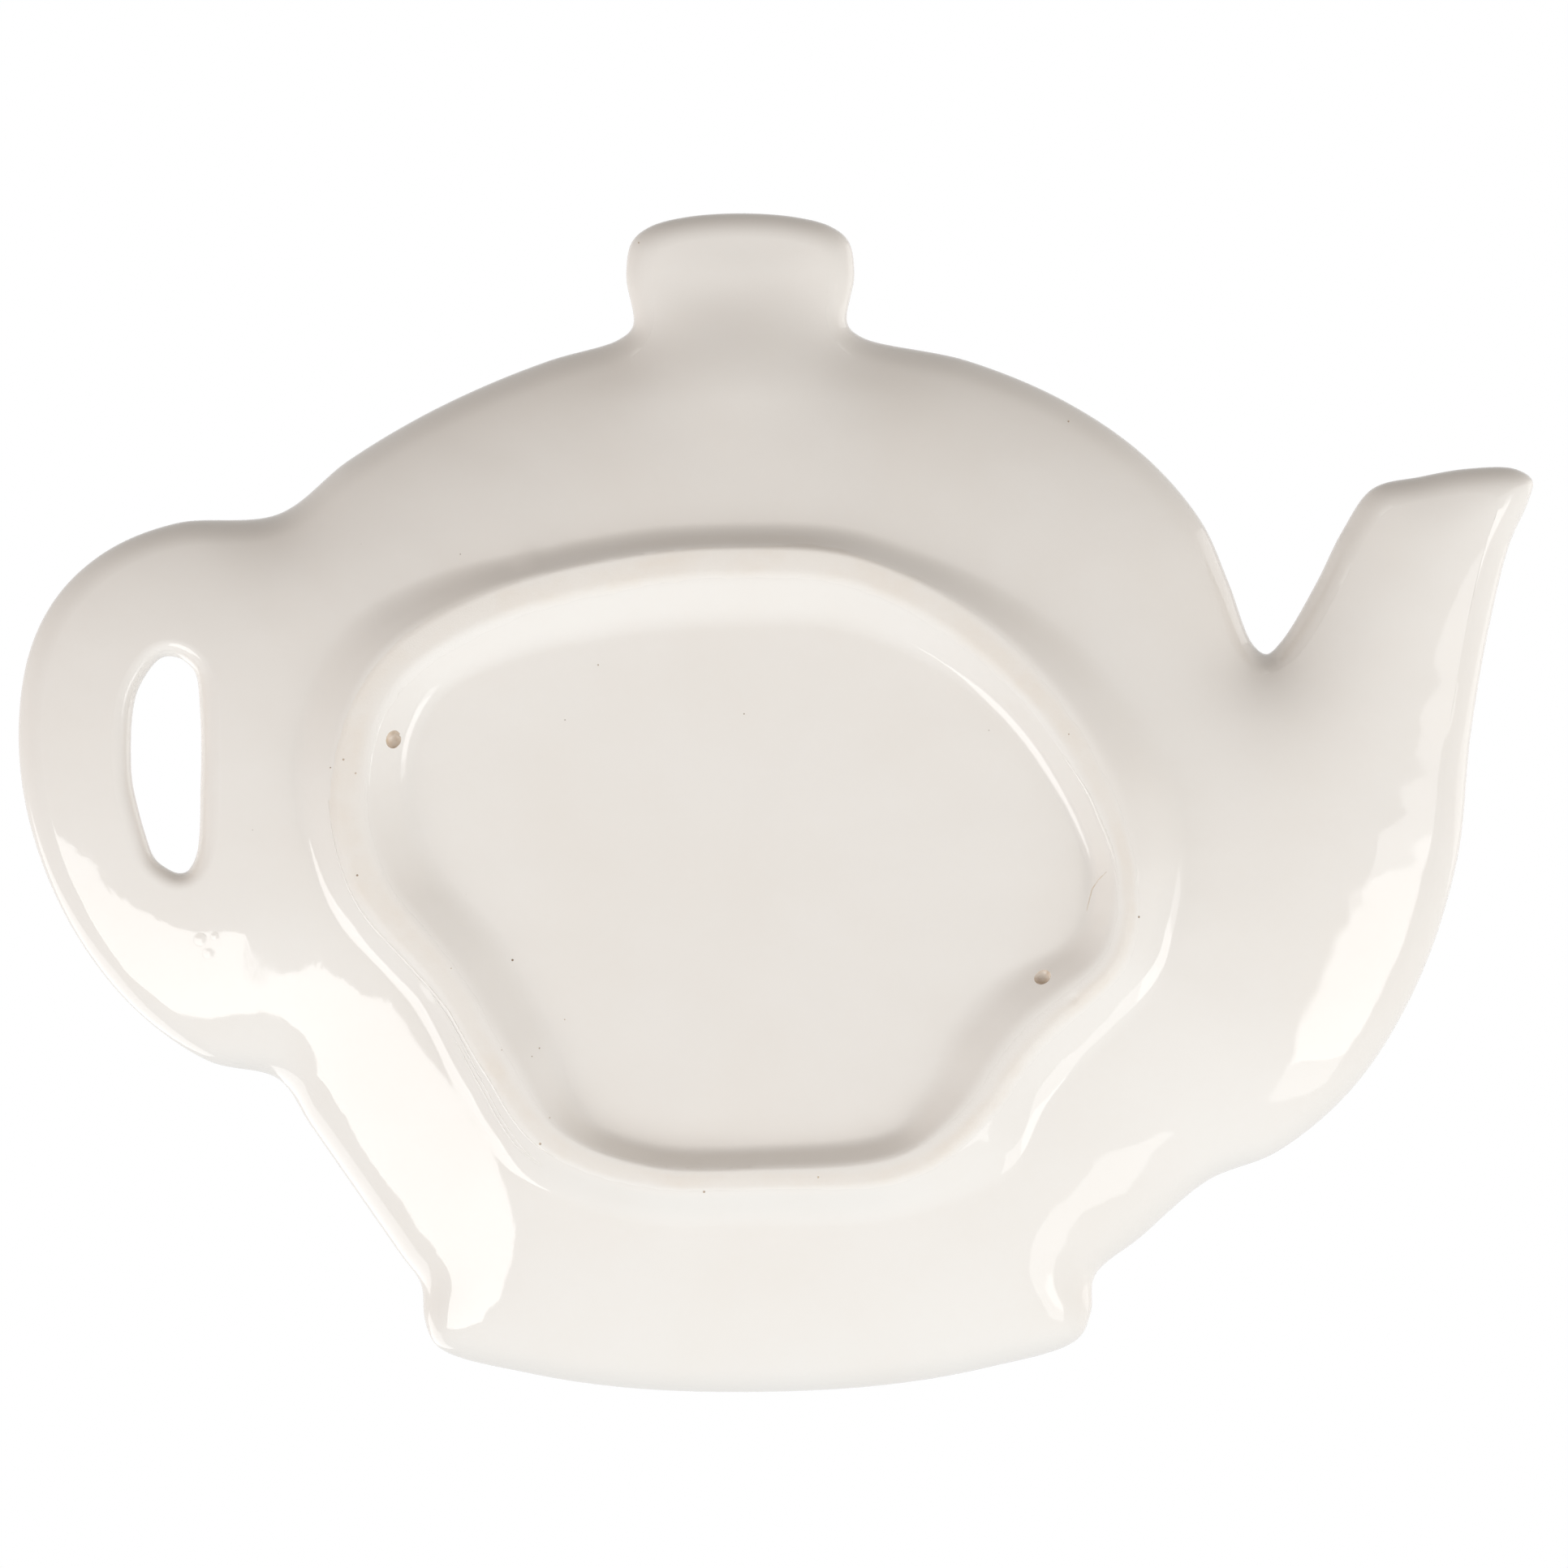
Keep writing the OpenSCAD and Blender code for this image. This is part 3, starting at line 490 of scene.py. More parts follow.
    def dabs(self, p):
        """Height of the dabs of slip: bells, whose height falls with the square of the way from their middle"""
        far = p[:, None] - at_px(DABS[:, :2])
        return np.exp(-(far ** 2).sum(axis=2) / (DABS[:, 2] * MM) ** 2) @ (DABS[:, 3] * MM)

    def under(self, p, d, eye=1.0):
        """Height of the glazed underside at the depth d behind the rim and the distance eye from the eye: from the
        glaze's stop up to the clay by the open share, with waves and dabs that die out towards the edges"""
        dish, foot, calm = self.dish, self.foot, 3 * MM
        clay = foot.foot_h + dish.rise * self.climb(p, d)
        t, e = self.ring_place(p)
        open_share = self.wall_share(t, e)
        inland = np.clip(np.minimum(d, eye) / calm, 0, 1)
        uneven = (self.waves(p) * open_share - self.dabs(p)) * inland
        z = foot.glaze_stop + (clay - foot.glaze_stop) * open_share + uneven
        return z + edge_round(d, dish.lip_w, dish.lip_under) + edge_round(eye, dish.eye_round, dish.wall / 2)

    def front(self, p, d, eye=1.0):
        """Height of the front at the depth d behind the rim and the distance eye from the eye: a wall above the
        clay of the underside, less the rounds of its edges"""
        dish = self.dish
        z = self.foot.foot_h + dish.wall + dish.rise * self.climb(p, d)
        return (z - edge_round(d, dish.lip_w, dish.wall - dish.lip_under)
                - edge_round(eye, dish.eye_round, dish.wall / 2))


def four_sided(low, high, left, right):
    """A plan between four lines that share their ends: the sum of both mixes less the mix of the corners"""
    u = np.linspace(0, 1, len(low))[None, :, None]
    v = np.linspace(0, 1, len(left))[:, None, None]
    corners = mix(mix(low[0], low[-1], u), mix(high[0], high[-1], u), v)
    return mix(low[None], high[None], v) + mix(left[:, None], right[:, None], u) - corners


def grid_faces(rows, cols, wrap):
    """Four-sided faces of a grid of points; wrap joins the last column to the first"""
    r = np.arange(rows - 1)[:, None]
    c = np.arange(cols if wrap else cols - 1)[None, :]
    after = (c + 1) % cols
    return np.stack([r * cols + c, r * cols + after, (r + 1) * cols + after, (r + 1) * cols + c], axis=2).reshape(-1, 4)


def lip_levels(width):
    """Distances across a quarter round at even steps of its angle"""
    return width * (1 - np.sin(np.linspace(np.pi / 2, 0, EDGE_ROWS)))


def grid_mesh(name, grids):
    """One closed mesh from grids of points (rows, columns, 3) with a wrap flag, its doubles merged"""
    points, faces, count, same_point = [], [], 0, 0.0005 * MM
    for grid, wrap in grids:
        rows, cols = grid.shape[:2]
        points.append(grid.reshape(-1, 3))
        faces.append(grid_faces(rows, cols, wrap) + count)
        count += rows * cols
    mesh = bpy.data.meshes.new(name)
    mesh.from_pydata(np.vstack(points), [], np.vstack(faces))
    bm = bmesh.new()
    bm.from_mesh(mesh)
    bmesh.ops.remove_doubles(bm, verts=bm.verts, dist=same_point)
    bmesh.ops.recalc_face_normals(bm, faces=bm.faces)
    bm.to_mesh(mesh)
    bm.free()
    mesh.shade_smooth()
    return mesh


def new_piece(name, mesh, materials, nodes):
    """An object for the mesh that rides on the root body and stands for the given CAD nodes"""
    piece = bpy.data.objects.new(name, mesh)
    bpy.context.scene.collection.objects.link(piece)
    for material in materials:
        mesh.materials.append(material)
    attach(piece, "root")
    if nodes:
        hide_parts(*nodes)
    return piece


def body_plan(shape, core, out_rows, ring_rows, floor_rows):
    """Polar plan of the body: from the core loop to the ring, across the ring, and on to the ring's centre"""
    v = core - shape.ring_c
    t = np.arctan2(v[:, 1], v[:, 0])
    outer, inner = 6 * MM, -8 * MM
    radius, slant = shape.ring_r(t), shape.ring_slant(t)
    near = radius + outer * slant
    rows = [mix(np.linalg.norm(v, axis=1), near, f) for f in np.linspace(0, 1, out_rows + 1)[:-1]]
    rows += [radius + e * slant for e in np.linspace(outer, inner, ring_rows + 1)]
    rows += [rows[-1] * f for f in np.linspace(1, 0, floor_rows + 1)[1:]]
    r = np.array(rows)
    return shape.ring_c + np.stack([r * np.cos(t), r * np.sin(t)], axis=2)


def on_seam(d, seam):
    """The distances, with those that lie on a seam between two grids set to the seam's own distance"""
    near = 0.02 * MM
    return np.where(abs(d - seam) < near, seam, d)


def raised(shape, plan, height, d=None, eye=1.0):
    """The plan's points at the heights that the shape gives them"""
    flat = plan.reshape(-1, 2)
    if d is None:
        d = on_seam(smooth_distance(flat, shape.outline), shape.dish.lip_w)
    z = height(flat, d, eye)
    return np.column_stack([flat, z]).reshape(*plan.shape[:2], 3)


def dish_grids(shape):
    """Grids of the dish: the lip, the body, the knob, the spout and the handle with its eye, on both sides"""
    at, dish = shape.at, shape.dish
    lip_d = lip_levels(dish.lip_w)
    lip = traced_rows(shape.outline, lip_d, True)
    edge = lip[-1]

    def stretch(a, b):
        return edge[np.arange(a, b + 1) % len(edge)]

    knob_side, spout_side = 4 * shape.knob_steps, 4 * shape.spout_steps
    knob_top = stretch(at["knob"] + knob_side, at["dome_spout"] - knob_side)
    mouth = stretch(at["spout"] + spout_side, at["belly"] - spout_side)
    across = ease(np.linspace(0, 1, len(knob_top)))[:, None]
    knob_root = mix(edge[at["knob"]], edge[at["dome_spout"]], across)
    across = ease(np.linspace(0, 1, len(mouth)))[:, None]
    spout_root = mix(edge[at["spout"]], edge[at["belly"]], across)
    across = ease(np.linspace(0, 1, HANDLE_ROOT_POINTS))[:, None]
    handle_line = mix(edge[at["handle"]], edge[0], across) + shape.root_bow * np.sin(np.pi * across) * [1, 0]
    core = np.vstack([
        stretch(0, at["knob"])[:-1], knob_root[:-1], stretch(at["dome_spout"], at["spout"])[:-1],
        spout_root[:-1], stretch(at["belly"], at["handle"])[:-1], handle_line[:-1]])
    handle_loop = np.vstack([stretch(at["handle"], len(edge))[:-1], handle_line[::-1][:-1]])
    eye_line = shape.eye_points(handle_loop)
    eye_d = lip_levels(dish.eye_round)
    eye_lip = traced_rows(eye_line, eye_d, False)
    f = ease(np.linspace(0, 1, HANDLE_ROWS))[:, None, None]
    handle = mix(handle_loop, eye_lip[-1], f)
    knob = four_sided(knob_root, knob_top, stretch(at["knob"], at["knob"] + knob_side),
                      stretch(at["dome_spout"] - knob_side, at["dome_spout"])[::-1])
    spout = four_sided(spout_root, mouth, stretch(at["spout"], at["spout"] + spout_side),
                       stretch(at["belly"] - spout_side, at["belly"])[::-1])
    lip_depths = np.repeat(lip_d, len(edge))
    handle_eye = smooth_distance(handle.reshape(-1, 2), eye_line)
    handle_eye[-len(eye_line):] = eye_d[-1]
    eye_depths = np.repeat(eye_d, len(eye_line))
    grids = []
    for height, rows in ((shape.under, UNDER_ROWS), (shape.front, FRONT_ROWS)):
        grids += [
            (raised(shape, lip, height, lip_depths), True),
            (raised(shape, body_plan(shape, core, *rows), height), True),
            (raised(shape, knob, height), False),
            (raised(shape, spout, height), False),
            (raised(shape, handle, height, eye=handle_eye), True),
            (raised(shape, eye_lip, height, eye=eye_depths), True)]
    return grids


def tree_of(name):
    """A material with an empty node tree"""
    material = bpy.data.materials.new(name)
    material.use_nodes = True
    material.node_tree.nodes.clear()
    return material, material.node_tree


def add(tree, kind, **values):
    """A node with its settings, and its inputs where a name is that of an input"""
    node = tree.nodes.new(kind)
    for key, value in values.items():
        if key in node.inputs:
            node.inputs[key].default_value = value
        else:
            setattr(node, key, value)
    return node


def noise(tree, place, scale, detail, rough=0.5):
    """A noise texture on the piece's own coordinates"""
    node = add(tree, "ShaderNodeTexNoise", Scale=scale, Detail=detail, Roughness=rough)
    tree.links.new(place.outputs["Object"], node.inputs["Vector"])
    return node.outputs["Fac"]


def ramp(tree, value, low, high, to_low=0.0, to_high=1.0):
    """A value carried from one range to another, and held at the ends"""
    node = add(tree, "ShaderNodeMapRange")
    for key, setting in zip(("From Min", "From Max", "To Min", "To Max"), (low, high, to_low, to_high)):
        node.inputs[key].default_value = setting
    tree.links.new(value, node.inputs["Value"])
    return node.outputs["Result"]


def blend(tree, factor, a, b):
    """A mix of two colours, each a socket or a plain colour"""
    node = add(tree, "ShaderNodeMix", data_type="RGBA")
    tree.links.new(factor, node.inputs["Factor"])
    for value, socket in ((a, node.inputs[6]), (b, node.inputs[7])):
        if isinstance(value, bpy.types.NodeSocket):
            tree.links.new(value, socket)
        else:
            socket.default_value = value
    return node.outputs[2]


def bumped(tree, height, distance, strength):
    """A bump from a height value"""
    node = add(tree, "ShaderNodeBump", Strength=strength, Distance=distance)
    tree.links.new(height, node.inputs["Height"])
    return node.outputs["Normal"]


def output(tree, shader):
    """The material's output"""
    tree.links.new(shader.outputs[0], add(tree, "ShaderNodeOutputMaterial").inputs["Surface"])


def iron_group(finish):
    """Node group: sparse iron specks, one in the middle of some cells of a flat cell pattern"""
    group = bpy.data.node_groups.new("iron_specks", "ShaderNodeTree")
    for name, kind in (("Vector", "NodeSocketVector"), ("Scale", "NodeSocketFloat"), ("Color", "NodeSocketColor")):
        group.interface.new_socket(name, in_out="INPUT", socket_type=kind)
    group.interface.new_socket("Color", in_out="OUTPUT", socket_type="NodeSocketColor")
    ends = add(group, "NodeGroupInput"), add(group, "NodeGroupOutput")
    cells = add(group, "ShaderNodeTexVoronoi", voronoi_dimensions="2D")
    group.links.new(ends[0].outputs["Vector"], cells.inputs["Vector"])
    group.links.new(ends[0].outputs["Scale"], cells.inputs["Scale"])
    pick = add(group, "ShaderNodeSeparateColor")
    group.links.new(cells.outputs["Color"], pick.inputs["Color"])
    size = ramp(group, pick.outputs["Red"], 0.86, 1, 0, 0.01)
    lack = add(group, "ShaderNodeMath", operation="SUBTRACT")
    group.links.new(size, lack.inputs[0])
    group.links.new(cells.outputs["Distance"], lack.inputs[1])
    mask = ramp(group, lack.outputs[0], 0, 0.008, 0, 0.75)
    group.links.new(blend(group, mask, ends[0].outputs["Color"], finish.iron), ends[1].inputs["Color"])


def specked(tree, place, scale, paint):
    """The paint with the iron specks of the shared node group"""
    node = add(tree, "ShaderNodeGroup", node_tree=bpy.data.node_groups["iron_specks"])
    node.inputs["Scale"].default_value = scale
    tree.links.new(place.outputs["Object"], node.inputs["Vector"])
    tree.links.new(paint, node.inputs["Color"])
    return node.outputs["Color"]


def glaze_material(finish):
    """Glossy warm white glaze: slow tints, iron specks, and a faint orange peel"""
    material, tree = tree_of("glaze")
    place = add(tree, "ShaderNodeTexCoord")
    tint = ramp(tree, noise(tree, place, 90, 3), 0.42, 0.75, 0, 0.16)
    mottle = ramp(tree, noise(tree, place, 1500, 4), 0.35, 0.75, 0, 0.05)
    paint = blend(tree, tint, finish.glaze, finish.glaze_thin)
    paint = blend(tree, mottle, paint, finish.glaze_thin)
    shader = add(tree, "ShaderNodeBsdfPrincipled", IOR=1.5)
    tree.links.new(specked(tree, place, 120, paint), shader.inputs["Base Color"])
    tree.links.new(ramp(tree, noise(tree, place, 260, 2), 0.3, 0.7, 0.03, 0.07), shader.inputs["Roughness"])
    peel = bumped(tree, noise(tree, place, 900, 2), 0.02 * MM, 0.25)
    tree.links.new(peel, shader.inputs["Normal"])
    output(tree, shader)
    return material


def vent_material(finish):
    """Brown, darker than the glaze, inside the vents, in patches of the thin glaze's colour"""
    material, tree = tree_of("vent_brown")
    place = add(tree, "ShaderNodeTexCoord")
    vent_patches = ramp(tree, noise(tree, place, 1800, 3), 0.3, 0.7)
    shader = add(tree, "ShaderNodeBsdfPrincipled", IOR=1.5)
    tree.links.new(blend(tree, vent_patches, finish.vent, finish.glaze_thin), shader.inputs["Base Color"])
    tree.links.new(ramp(tree, vent_patches, 0, 1, 0.15, 0.3), shader.inputs["Roughness"])
    output(tree, shader)
    return material


def iron_material(finish):
    """Iron that has melted into the glaze"""
    material, tree = tree_of("iron")
    place = add(tree, "ShaderNodeTexCoord")
    melt = ramp(tree, noise(tree, place, 3000, 2), 0.35, 0.65)
    shader = add(tree, "ShaderNodeBsdfPrincipled", IOR=1.5)
    tree.links.new(blend(tree, melt, finish.iron, finish.vent), shader.inputs["Base Color"])
    tree.links.new(ramp(tree, melt, 0, 1, 0.25, 0.4), shader.inputs["Roughness"])
    output(tree, shader)
    return material


def clay_material(finish):
    """Dry clay of the foot's face: fine grain, stains and specks; it takes the glaze's colour where it isn't dry"""
    material, tree = tree_of("dry_clay")
    place = add(tree, "ShaderNodeTexCoord")
    stain = ramp(tree, noise(tree, place, 160, 4, 0.6), 0.45, 0.75)
    dry = add(tree, "ShaderNodeAttribute", attribute_name="dry").outputs["Fac"]
    paint = blend(tree, dry, finish.glaze, blend(tree, stain, finish.clay, finish.clay_stain))
    shader = add(tree, "ShaderNodeBsdfPrincipled")
    tree.links.new(specked(tree, place, 260, paint), shader.inputs["Base Color"])
    grain = noise(tree, place, 6000, 3, 0.6)
    tree.links.new(ramp(tree, grain, 0.3, 0.7, 0.65, 0.9), shader.inputs["Roughness"])
    tree.links.new(bumped(tree, grain, 0.03 * MM, 0.5), shader.inputs["Normal"])
    output(tree, shader)
    return material


def cut_vents(shape, piece):
    """Cuts the two blind vents: bores with a round end that widen a little and lean outwards from the ring's middle"""
    foot, bore_length, mouth = shape.foot, 4, 1.25
    t = np.linspace(0, 2 * np.pi, 40, endpoint=False)
    end = np.linspace(np.pi / 2, 0, EDGE_ROWS)
    back = np.concatenate([0.5 * (1 - np.sin(end)), [bore_length]]) * foot.vent_d
    radius = np.concatenate([np.cos(end), [mouth]]) * foot.vent_d / 2
    rows = np.stack([
        radius[:, None] * np.cos(t), radius[:, None] * np.sin(t), -back[:, None] + 0 * t], axis=2)
    closed = np.concatenate([rows, rows[-1:] * [0, 0, 1]])
    for name, turn, inset in (("vent_handle", foot.vent_turn, foot.vent_handle),
                              ("vent_spout", foot.vent_turn + np.pi, foot.vent_spout)):
        lean, out = foot.vent_lean, np.array([math.cos(turn), math.sin(turn), 0])
        axis = math.sin(lean) * out + [0, 0, math.cos(lean)]
        side = np.array([-out[1], out[0], 0])
        turned = np.stack([np.cross(side, axis), side, axis])
        tip = np.append(shape.at_ring(np.array([turn]), -inset)[0], foot.vent_z)
        mesh = grid_mesh(name, [(closed @ turned + tip, True)])
        for material in piece.data.materials:
            mesh.materials.append(material)
        mesh.polygons.foreach_set("material_index", np.ones(len(mesh.polygons), dtype=np.int32))
        cutter = bpy.data.objects.new(name, mesh)
        bpy.context.scene.collection.objects.link(cutter)
        modifier = piece.modifiers.new(name, "BOOLEAN")
        modifier.operation, modifier.solver, modifier.object = "DIFFERENCE", "EXACT", cutter
        cut = bpy.data.meshes.new_from_object(piece.evaluated_get(bpy.context.evaluated_depsgraph_get()))
        if len(cut.polygons) <= len(piece.data.polygons):
            raise RuntimeError(f"{name} wasn't cut")
        piece.modifiers.clear()
        piece.data = cut
        bpy.data.objects.remove(cutter)
    piece.data.shade_smooth()
    piece.data.set_sharp_from_angle(angle=math.radians(50))


def formula_normals(shape, mesh):
    """Gives the handle's root the normals of the underside's own formula, from its slopes over a small step, because
    the handle's rows run askew there. Points near the rim, the eye or off the formula keep the mesh's normals"""
    reach, clear_of_eye, step, match = 26 * MM, 3.2 * MM, 0.02 * MM, 0.002 * MM
    count = len(mesh.vertices)
    place, facing = np.empty(3 * count), np.empty(3 * count)
    mesh.vertices.foreach_get("co", place)
    mesh.vertices.foreach_get("normal", facing)
    place, facing = place.reshape(-1, 3), facing.reshape(-1, 3)
    plan = place[:, :2]
    far = np.linalg.norm(plan - shape.eye_c, axis=1)
    from_eye = np.linalg.norm(plan - shape.eye_points(plan), axis=1)
    chosen = np.flatnonzero((far < reach) & (from_eye > clear_of_eye) & (facing[:, 2] < 0))
    moves = np.array([[0, 0], [step, 0], [-step, 0], [0, step], [0, -step]])
    near = (plan[chosen] + moves[:, None]).reshape(-1, 2)
    depth = smooth_distance(near, shape.outline)
    z = shape.under(near, depth).reshape(5, -1)
    slope = np.stack([z[1] - z[2], z[3] - z[4], np.full(z.shape[1], -2 * step)], axis=1)
    inland = depth[:len(chosen)] > 2 * shape.dish.lip_w
    on_formula = abs(place[chosen, 2] - z[0]) < match
    normals = np.zeros((count, 3))
    normals[chosen] = unit(slope) * (inland & on_formula)[:, None]
    corner = np.empty(len(mesh.loops), dtype=np.int32)
    mesh.loops.foreach_get("vertex_index", corner)
    mesh.normals_split_custom_set(normals[corner])


class REST_OT_glazed_dish(bpy.types.Operator):
    """Makes the glazed dish with its knob, spout, handle and eye, and the glazed walls of its foot"""
    bl_idname = "rest.glazed_dish"
    bl_label = "Glazed dish"

    def execute(self, context):
        finish = context.scene.rest_finish
        iron_group(finish)
        shape = RestShape(context.scene)
        mesh = grid_mesh("glazed_dish", dish_grids(shape))
        piece = new_piece("glazed_dish", mesh, (glaze_material(finish), vent_material(finish)),
                          ("dish",))
        cut_vents(shape, piece)
        formula_normals(shape, piece.data)
        return {"FINISHED"}


def ragged(t, seed, finest=110):
    """A ragged line along the ring, of typical size 1: waves from a third of the way round to about a millimetre"""
    k = np.arange(3, finest)
    phase = np.random.default_rng(seed).uniform(0, 2 * np.pi, len(k))
    line = np.cos(np.multiply.outer(t, k) + phase) @ (k ** -1.0)
    return line / line.std()


def on_underside(shape, p):
    """The plan's points with the height of the glazed underside"""
    return np.column_stack([p, shape.under(p, smooth_distance(p, shape.outline))])


def cord(shape, plan, radius, height):
    """A low ridge along a plan path on the underside: an oval across the path, tapered to both ends"""
    path = on_underside(shape, plan)
    way = unit(np.gradient(path, axis=0))
    across = radius * np.stack([-way[:, 1], way[:, 0]], axis=1)
    side = unit(on_underside(shape, plan + across) - on_underside(shape, plan - across))
    out = np.cross(way, side)
    taper = np.sin(np.linspace(0, np.pi, len(path)))[:, None, None] ** 0.4
    taper[[0, -1]] = 0
    a = np.linspace(0, 2 * np.pi, 12, endpoint=False)[None, :, None]
    return path[:, None] + taper * (radius * np.cos(a) * side[:, None] + height * np.sin(a) * out[:, None])


def lens(shape, centre, radius, height, soft=1):
    """A flat round drop that lies on the underside, of height sin b to the power soft, b the angle over its round"""
    a = np.linspace(0, 2 * np.pi, 16, endpoint=False)[None, :]
    b = np.linspace(-np.pi / 2, np.pi / 2, 7 + 4 * soft)[:, None]
    reach = radius * np.cos(b)
    reach[[0, -1]] = 0
    plan = centre + np.stack([reach * np.cos(a), reach * np.sin(a)], axis=2)
    drop = on_underside(shape, plan.reshape(-1, 2)).reshape(*plan.shape[:2], 3)
    drop[:, :, 2] += height * np.sign(b) * abs(np.sin(b)) ** soft
    return drop


# Ridges along the ring: degrees from the handle side and millimetres outside the ring's middle line, the ridge's
# radius and its raggedness. The first two are the edges of the glaze, the others lines left by a fettling tool
RIDGES = (
    (((184, -0.9), (178, -1.0), (170, -1.15), (161, -1.35)), 0.16, 0.05),
    (((9, 1.35), (-10, 1.35), (-20, 1.1), (-27, 0.85), (-35, 1.0), (-45, 1.2), (-52, 1.2), (-58, 1.0)), 0.16, 0.03),
    (((-31, 1.6), (-39, 1.95), (-45, 2.15), (-51, 2.25), (-57, 2.2)), 0.12, 0),
    (((-33, 1.45), (-39, 1.65), (-45, 1.85), (-51, 1.95), (-57, 2.05)), 0.1, 0),
    (((-17, 1.45), (-22, 1.2), (-28, 1.15), (-34, 1.3), (-41, 1.6)), 0.1, 0))
# Blisters of the glaze in the photograph's pixels, with their radius in millimetres
BLISTERS = (((267, 1153), 0.35), ((259, 1174), 0.5), ((249, 1157), 0.55), ((497, 906), 0.16), ((1292, 1192), 0.16))
# Iron specks in the photograph's pixels, with their radius in millimetres
SPECKS = (((426, 936), 0.08), ((410, 946), 0.06), ((441, 953), 0.07), ((443, 1078), 0.09), ((1401, 1129), 0.09),
          ((633, 1182), 0.09), ((666, 1290), 0.06), ((697, 1255), 0.05), ((620, 1292), 0.04), ((657, 1300), 0.05),
          ((679, 1375), 0.05), ((667, 1407), 0.10), ((868, 1466), 0.09), ((1008, 1448), 0.08), ((738, 820), 0.06),
          ((917, 880), 0.05), ((787, 300), 0.06), ((1316, 520), 0.08), ((558, 1192), 0.05), ((1315, 905), 0.06))
# The drying crack's path in the photograph's pixels
CRACK = ((1362, 1073), (1352, 1083), (1344, 1095), (1340, 1110), (1337, 1123))
# Heights of ridges and blisters as shares of their radius, the blisters' softness, and in millimetres the height of
# the specks and the radius and height of the crack
RIDGE_SHARE, BLISTER_SHARE, BLISTER_SOFT = 0.45, 0.08, 4
SPECK_H, CRACK_R, CRACK_H = 0.03, 0.06, 0.02
# The dry face in millimetres from the ring's middle line: its inner and outer edge, and the width over which it fades
DRY_IN, DRY_OUT, DRY_FADE = -1.3, 1.0, 0.7


class REST_OT_slip_marks(bpy.types.Operator):
    """Makes the ragged edges of the glaze, the fettling lines in the slip and a few blisters"""
    bl_idname = "rest.slip_marks"
    bl_label = "Slip marks"

    def execute(self, context):
        shape = RestShape(context.scene)
        grids = []
        for seed, (line, radius, rag) in enumerate(RIDGES, 21):
            turns, e = np.array(line).T
            per_degree = 8
            t = np.radians(np.linspace(turns[0], turns[-1], int(abs(turns[0] - turns[-1]) * per_degree)))
            place = np.interp(-np.degrees(t), -turns, e) + rag * ragged(t, seed, 45)
            grids.append((cord(shape, shape.at_ring(t, place * MM), radius * MM, RIDGE_SHARE * radius * MM), True))
        grids += [(lens(shape, at_px(px), radius * MM, BLISTER_SHARE * radius * MM, BLISTER_SOFT), True)
                  for px, radius in BLISTERS]
        mesh = grid_mesh("slip_marks", grids)
        new_piece("slip_marks", mesh, (bpy.data.materials["glaze"],), ("luting_slip",))
        return {"FINISHED"}


class REST_OT_specks(bpy.types.Operator):
    """Makes the iron specks and the short drying crack"""
    bl_idname = "rest.specks"
    bl_label = "Specks and crack"

    def execute(self, context):
        shape = RestShape(context.scene)
        finish, foot = context.scene.rest_finish, context.scene.rest_foot
        t, e = shape.ring_place(at_px([px for px, radius in SPECKS]))
        out, inn = shape.section_at(t)[4:]
        proud = foot.glaze_stop * np.clip(1 - ((2 * e - out + inn) / (out + inn)) ** 2, 0, 1)
        grids = [(lens(shape, at_px(px), radius * MM, SPECK_H * MM) - [0, 0, z], True)
                 for z, (px, radius) in zip(proud, SPECKS)]
        new_piece("iron_specks", grid_mesh("iron_specks", grids), (iron_material(finish),), ())
        f = np.linspace(0, len(CRACK) - 1, 40)
        crack = np.stack([np.interp(f, np.arange(len(CRACK)), column) for column in np.array(CRACK).T], axis=1)
        mesh = grid_mesh("drying_crack", [(cord(shape, at_px(crack), CRACK_R * MM, CRACK_H * MM), True)])
        # The crack takes the same brown as the inside of the vents
        new_piece("drying_crack", mesh, (bpy.data.materials["vent_brown"],), ())
        return {"FINISHED"}


class REST_OT_dry_foot(bpy.types.Operator):
    """Makes the dry clay bar of the foot ring, whose face shows between the ragged edges of the glaze"""
    bl_idname = "rest.dry_foot"
    bl_label = "Dry foot"

    def execute(self, context):
        shape = RestShape(context.scene)
        foot, bar_h, past_edge = shape.foot, 0.8 * MM, 1.3
        t = np.linspace(0, 2 * np.pi, 960, endpoint=False)
        out, inn = shape.section_at(t)[4:]
        out, inn = out + foot.dry_rag * ragged(t, 11), inn + foot.dry_rag * ragged(t, 12)
        rows, dry = [], []
        for f in np.linspace(-past_edge, past_edge, 27):
            e = (out - inn) / 2 + f * (out + inn) / 2
            surface = on_underside(shape, shape.at_ring(t, e))
            surface[:, 2] -= foot.glaze_stop * (1 - f ** 2)
            rows.append(surface)
            dry.append(np.clip((e / MM - DRY_IN) / DRY_FADE, 0, 1) * np.clip((DRY_OUT - e / MM) / DRY_FADE, 0, 1))
        tops = [rows[-1] + [0, 0, bar_h], rows[0] + [0, 0, bar_h], rows[0]]
        mesh = grid_mesh("foot_ring", [(np.array(rows + tops), True)])
        share = np.zeros(len(mesh.vertices), dtype=np.float32)
        share[:len(rows) * len(t)] = np.concatenate(dry)
        mesh.attributes.new("dry", "FLOAT", "POINT").data.foreach_set("value", share)
        new_piece("foot_ring_bisque", mesh, (clay_material(context.scene.rest_finish),), ("foot_ring",))
        return {"FINISHED"}


def mirrored(slope):
    """Direction that a surface of the given slope mirrors to the camera below: (2 g, g.g - 1) / (1 + g.g)"""
    g = np.array(slope, dtype=float)
    return np.append(2 * g, g @ g - 1) / (1 + g @ g)


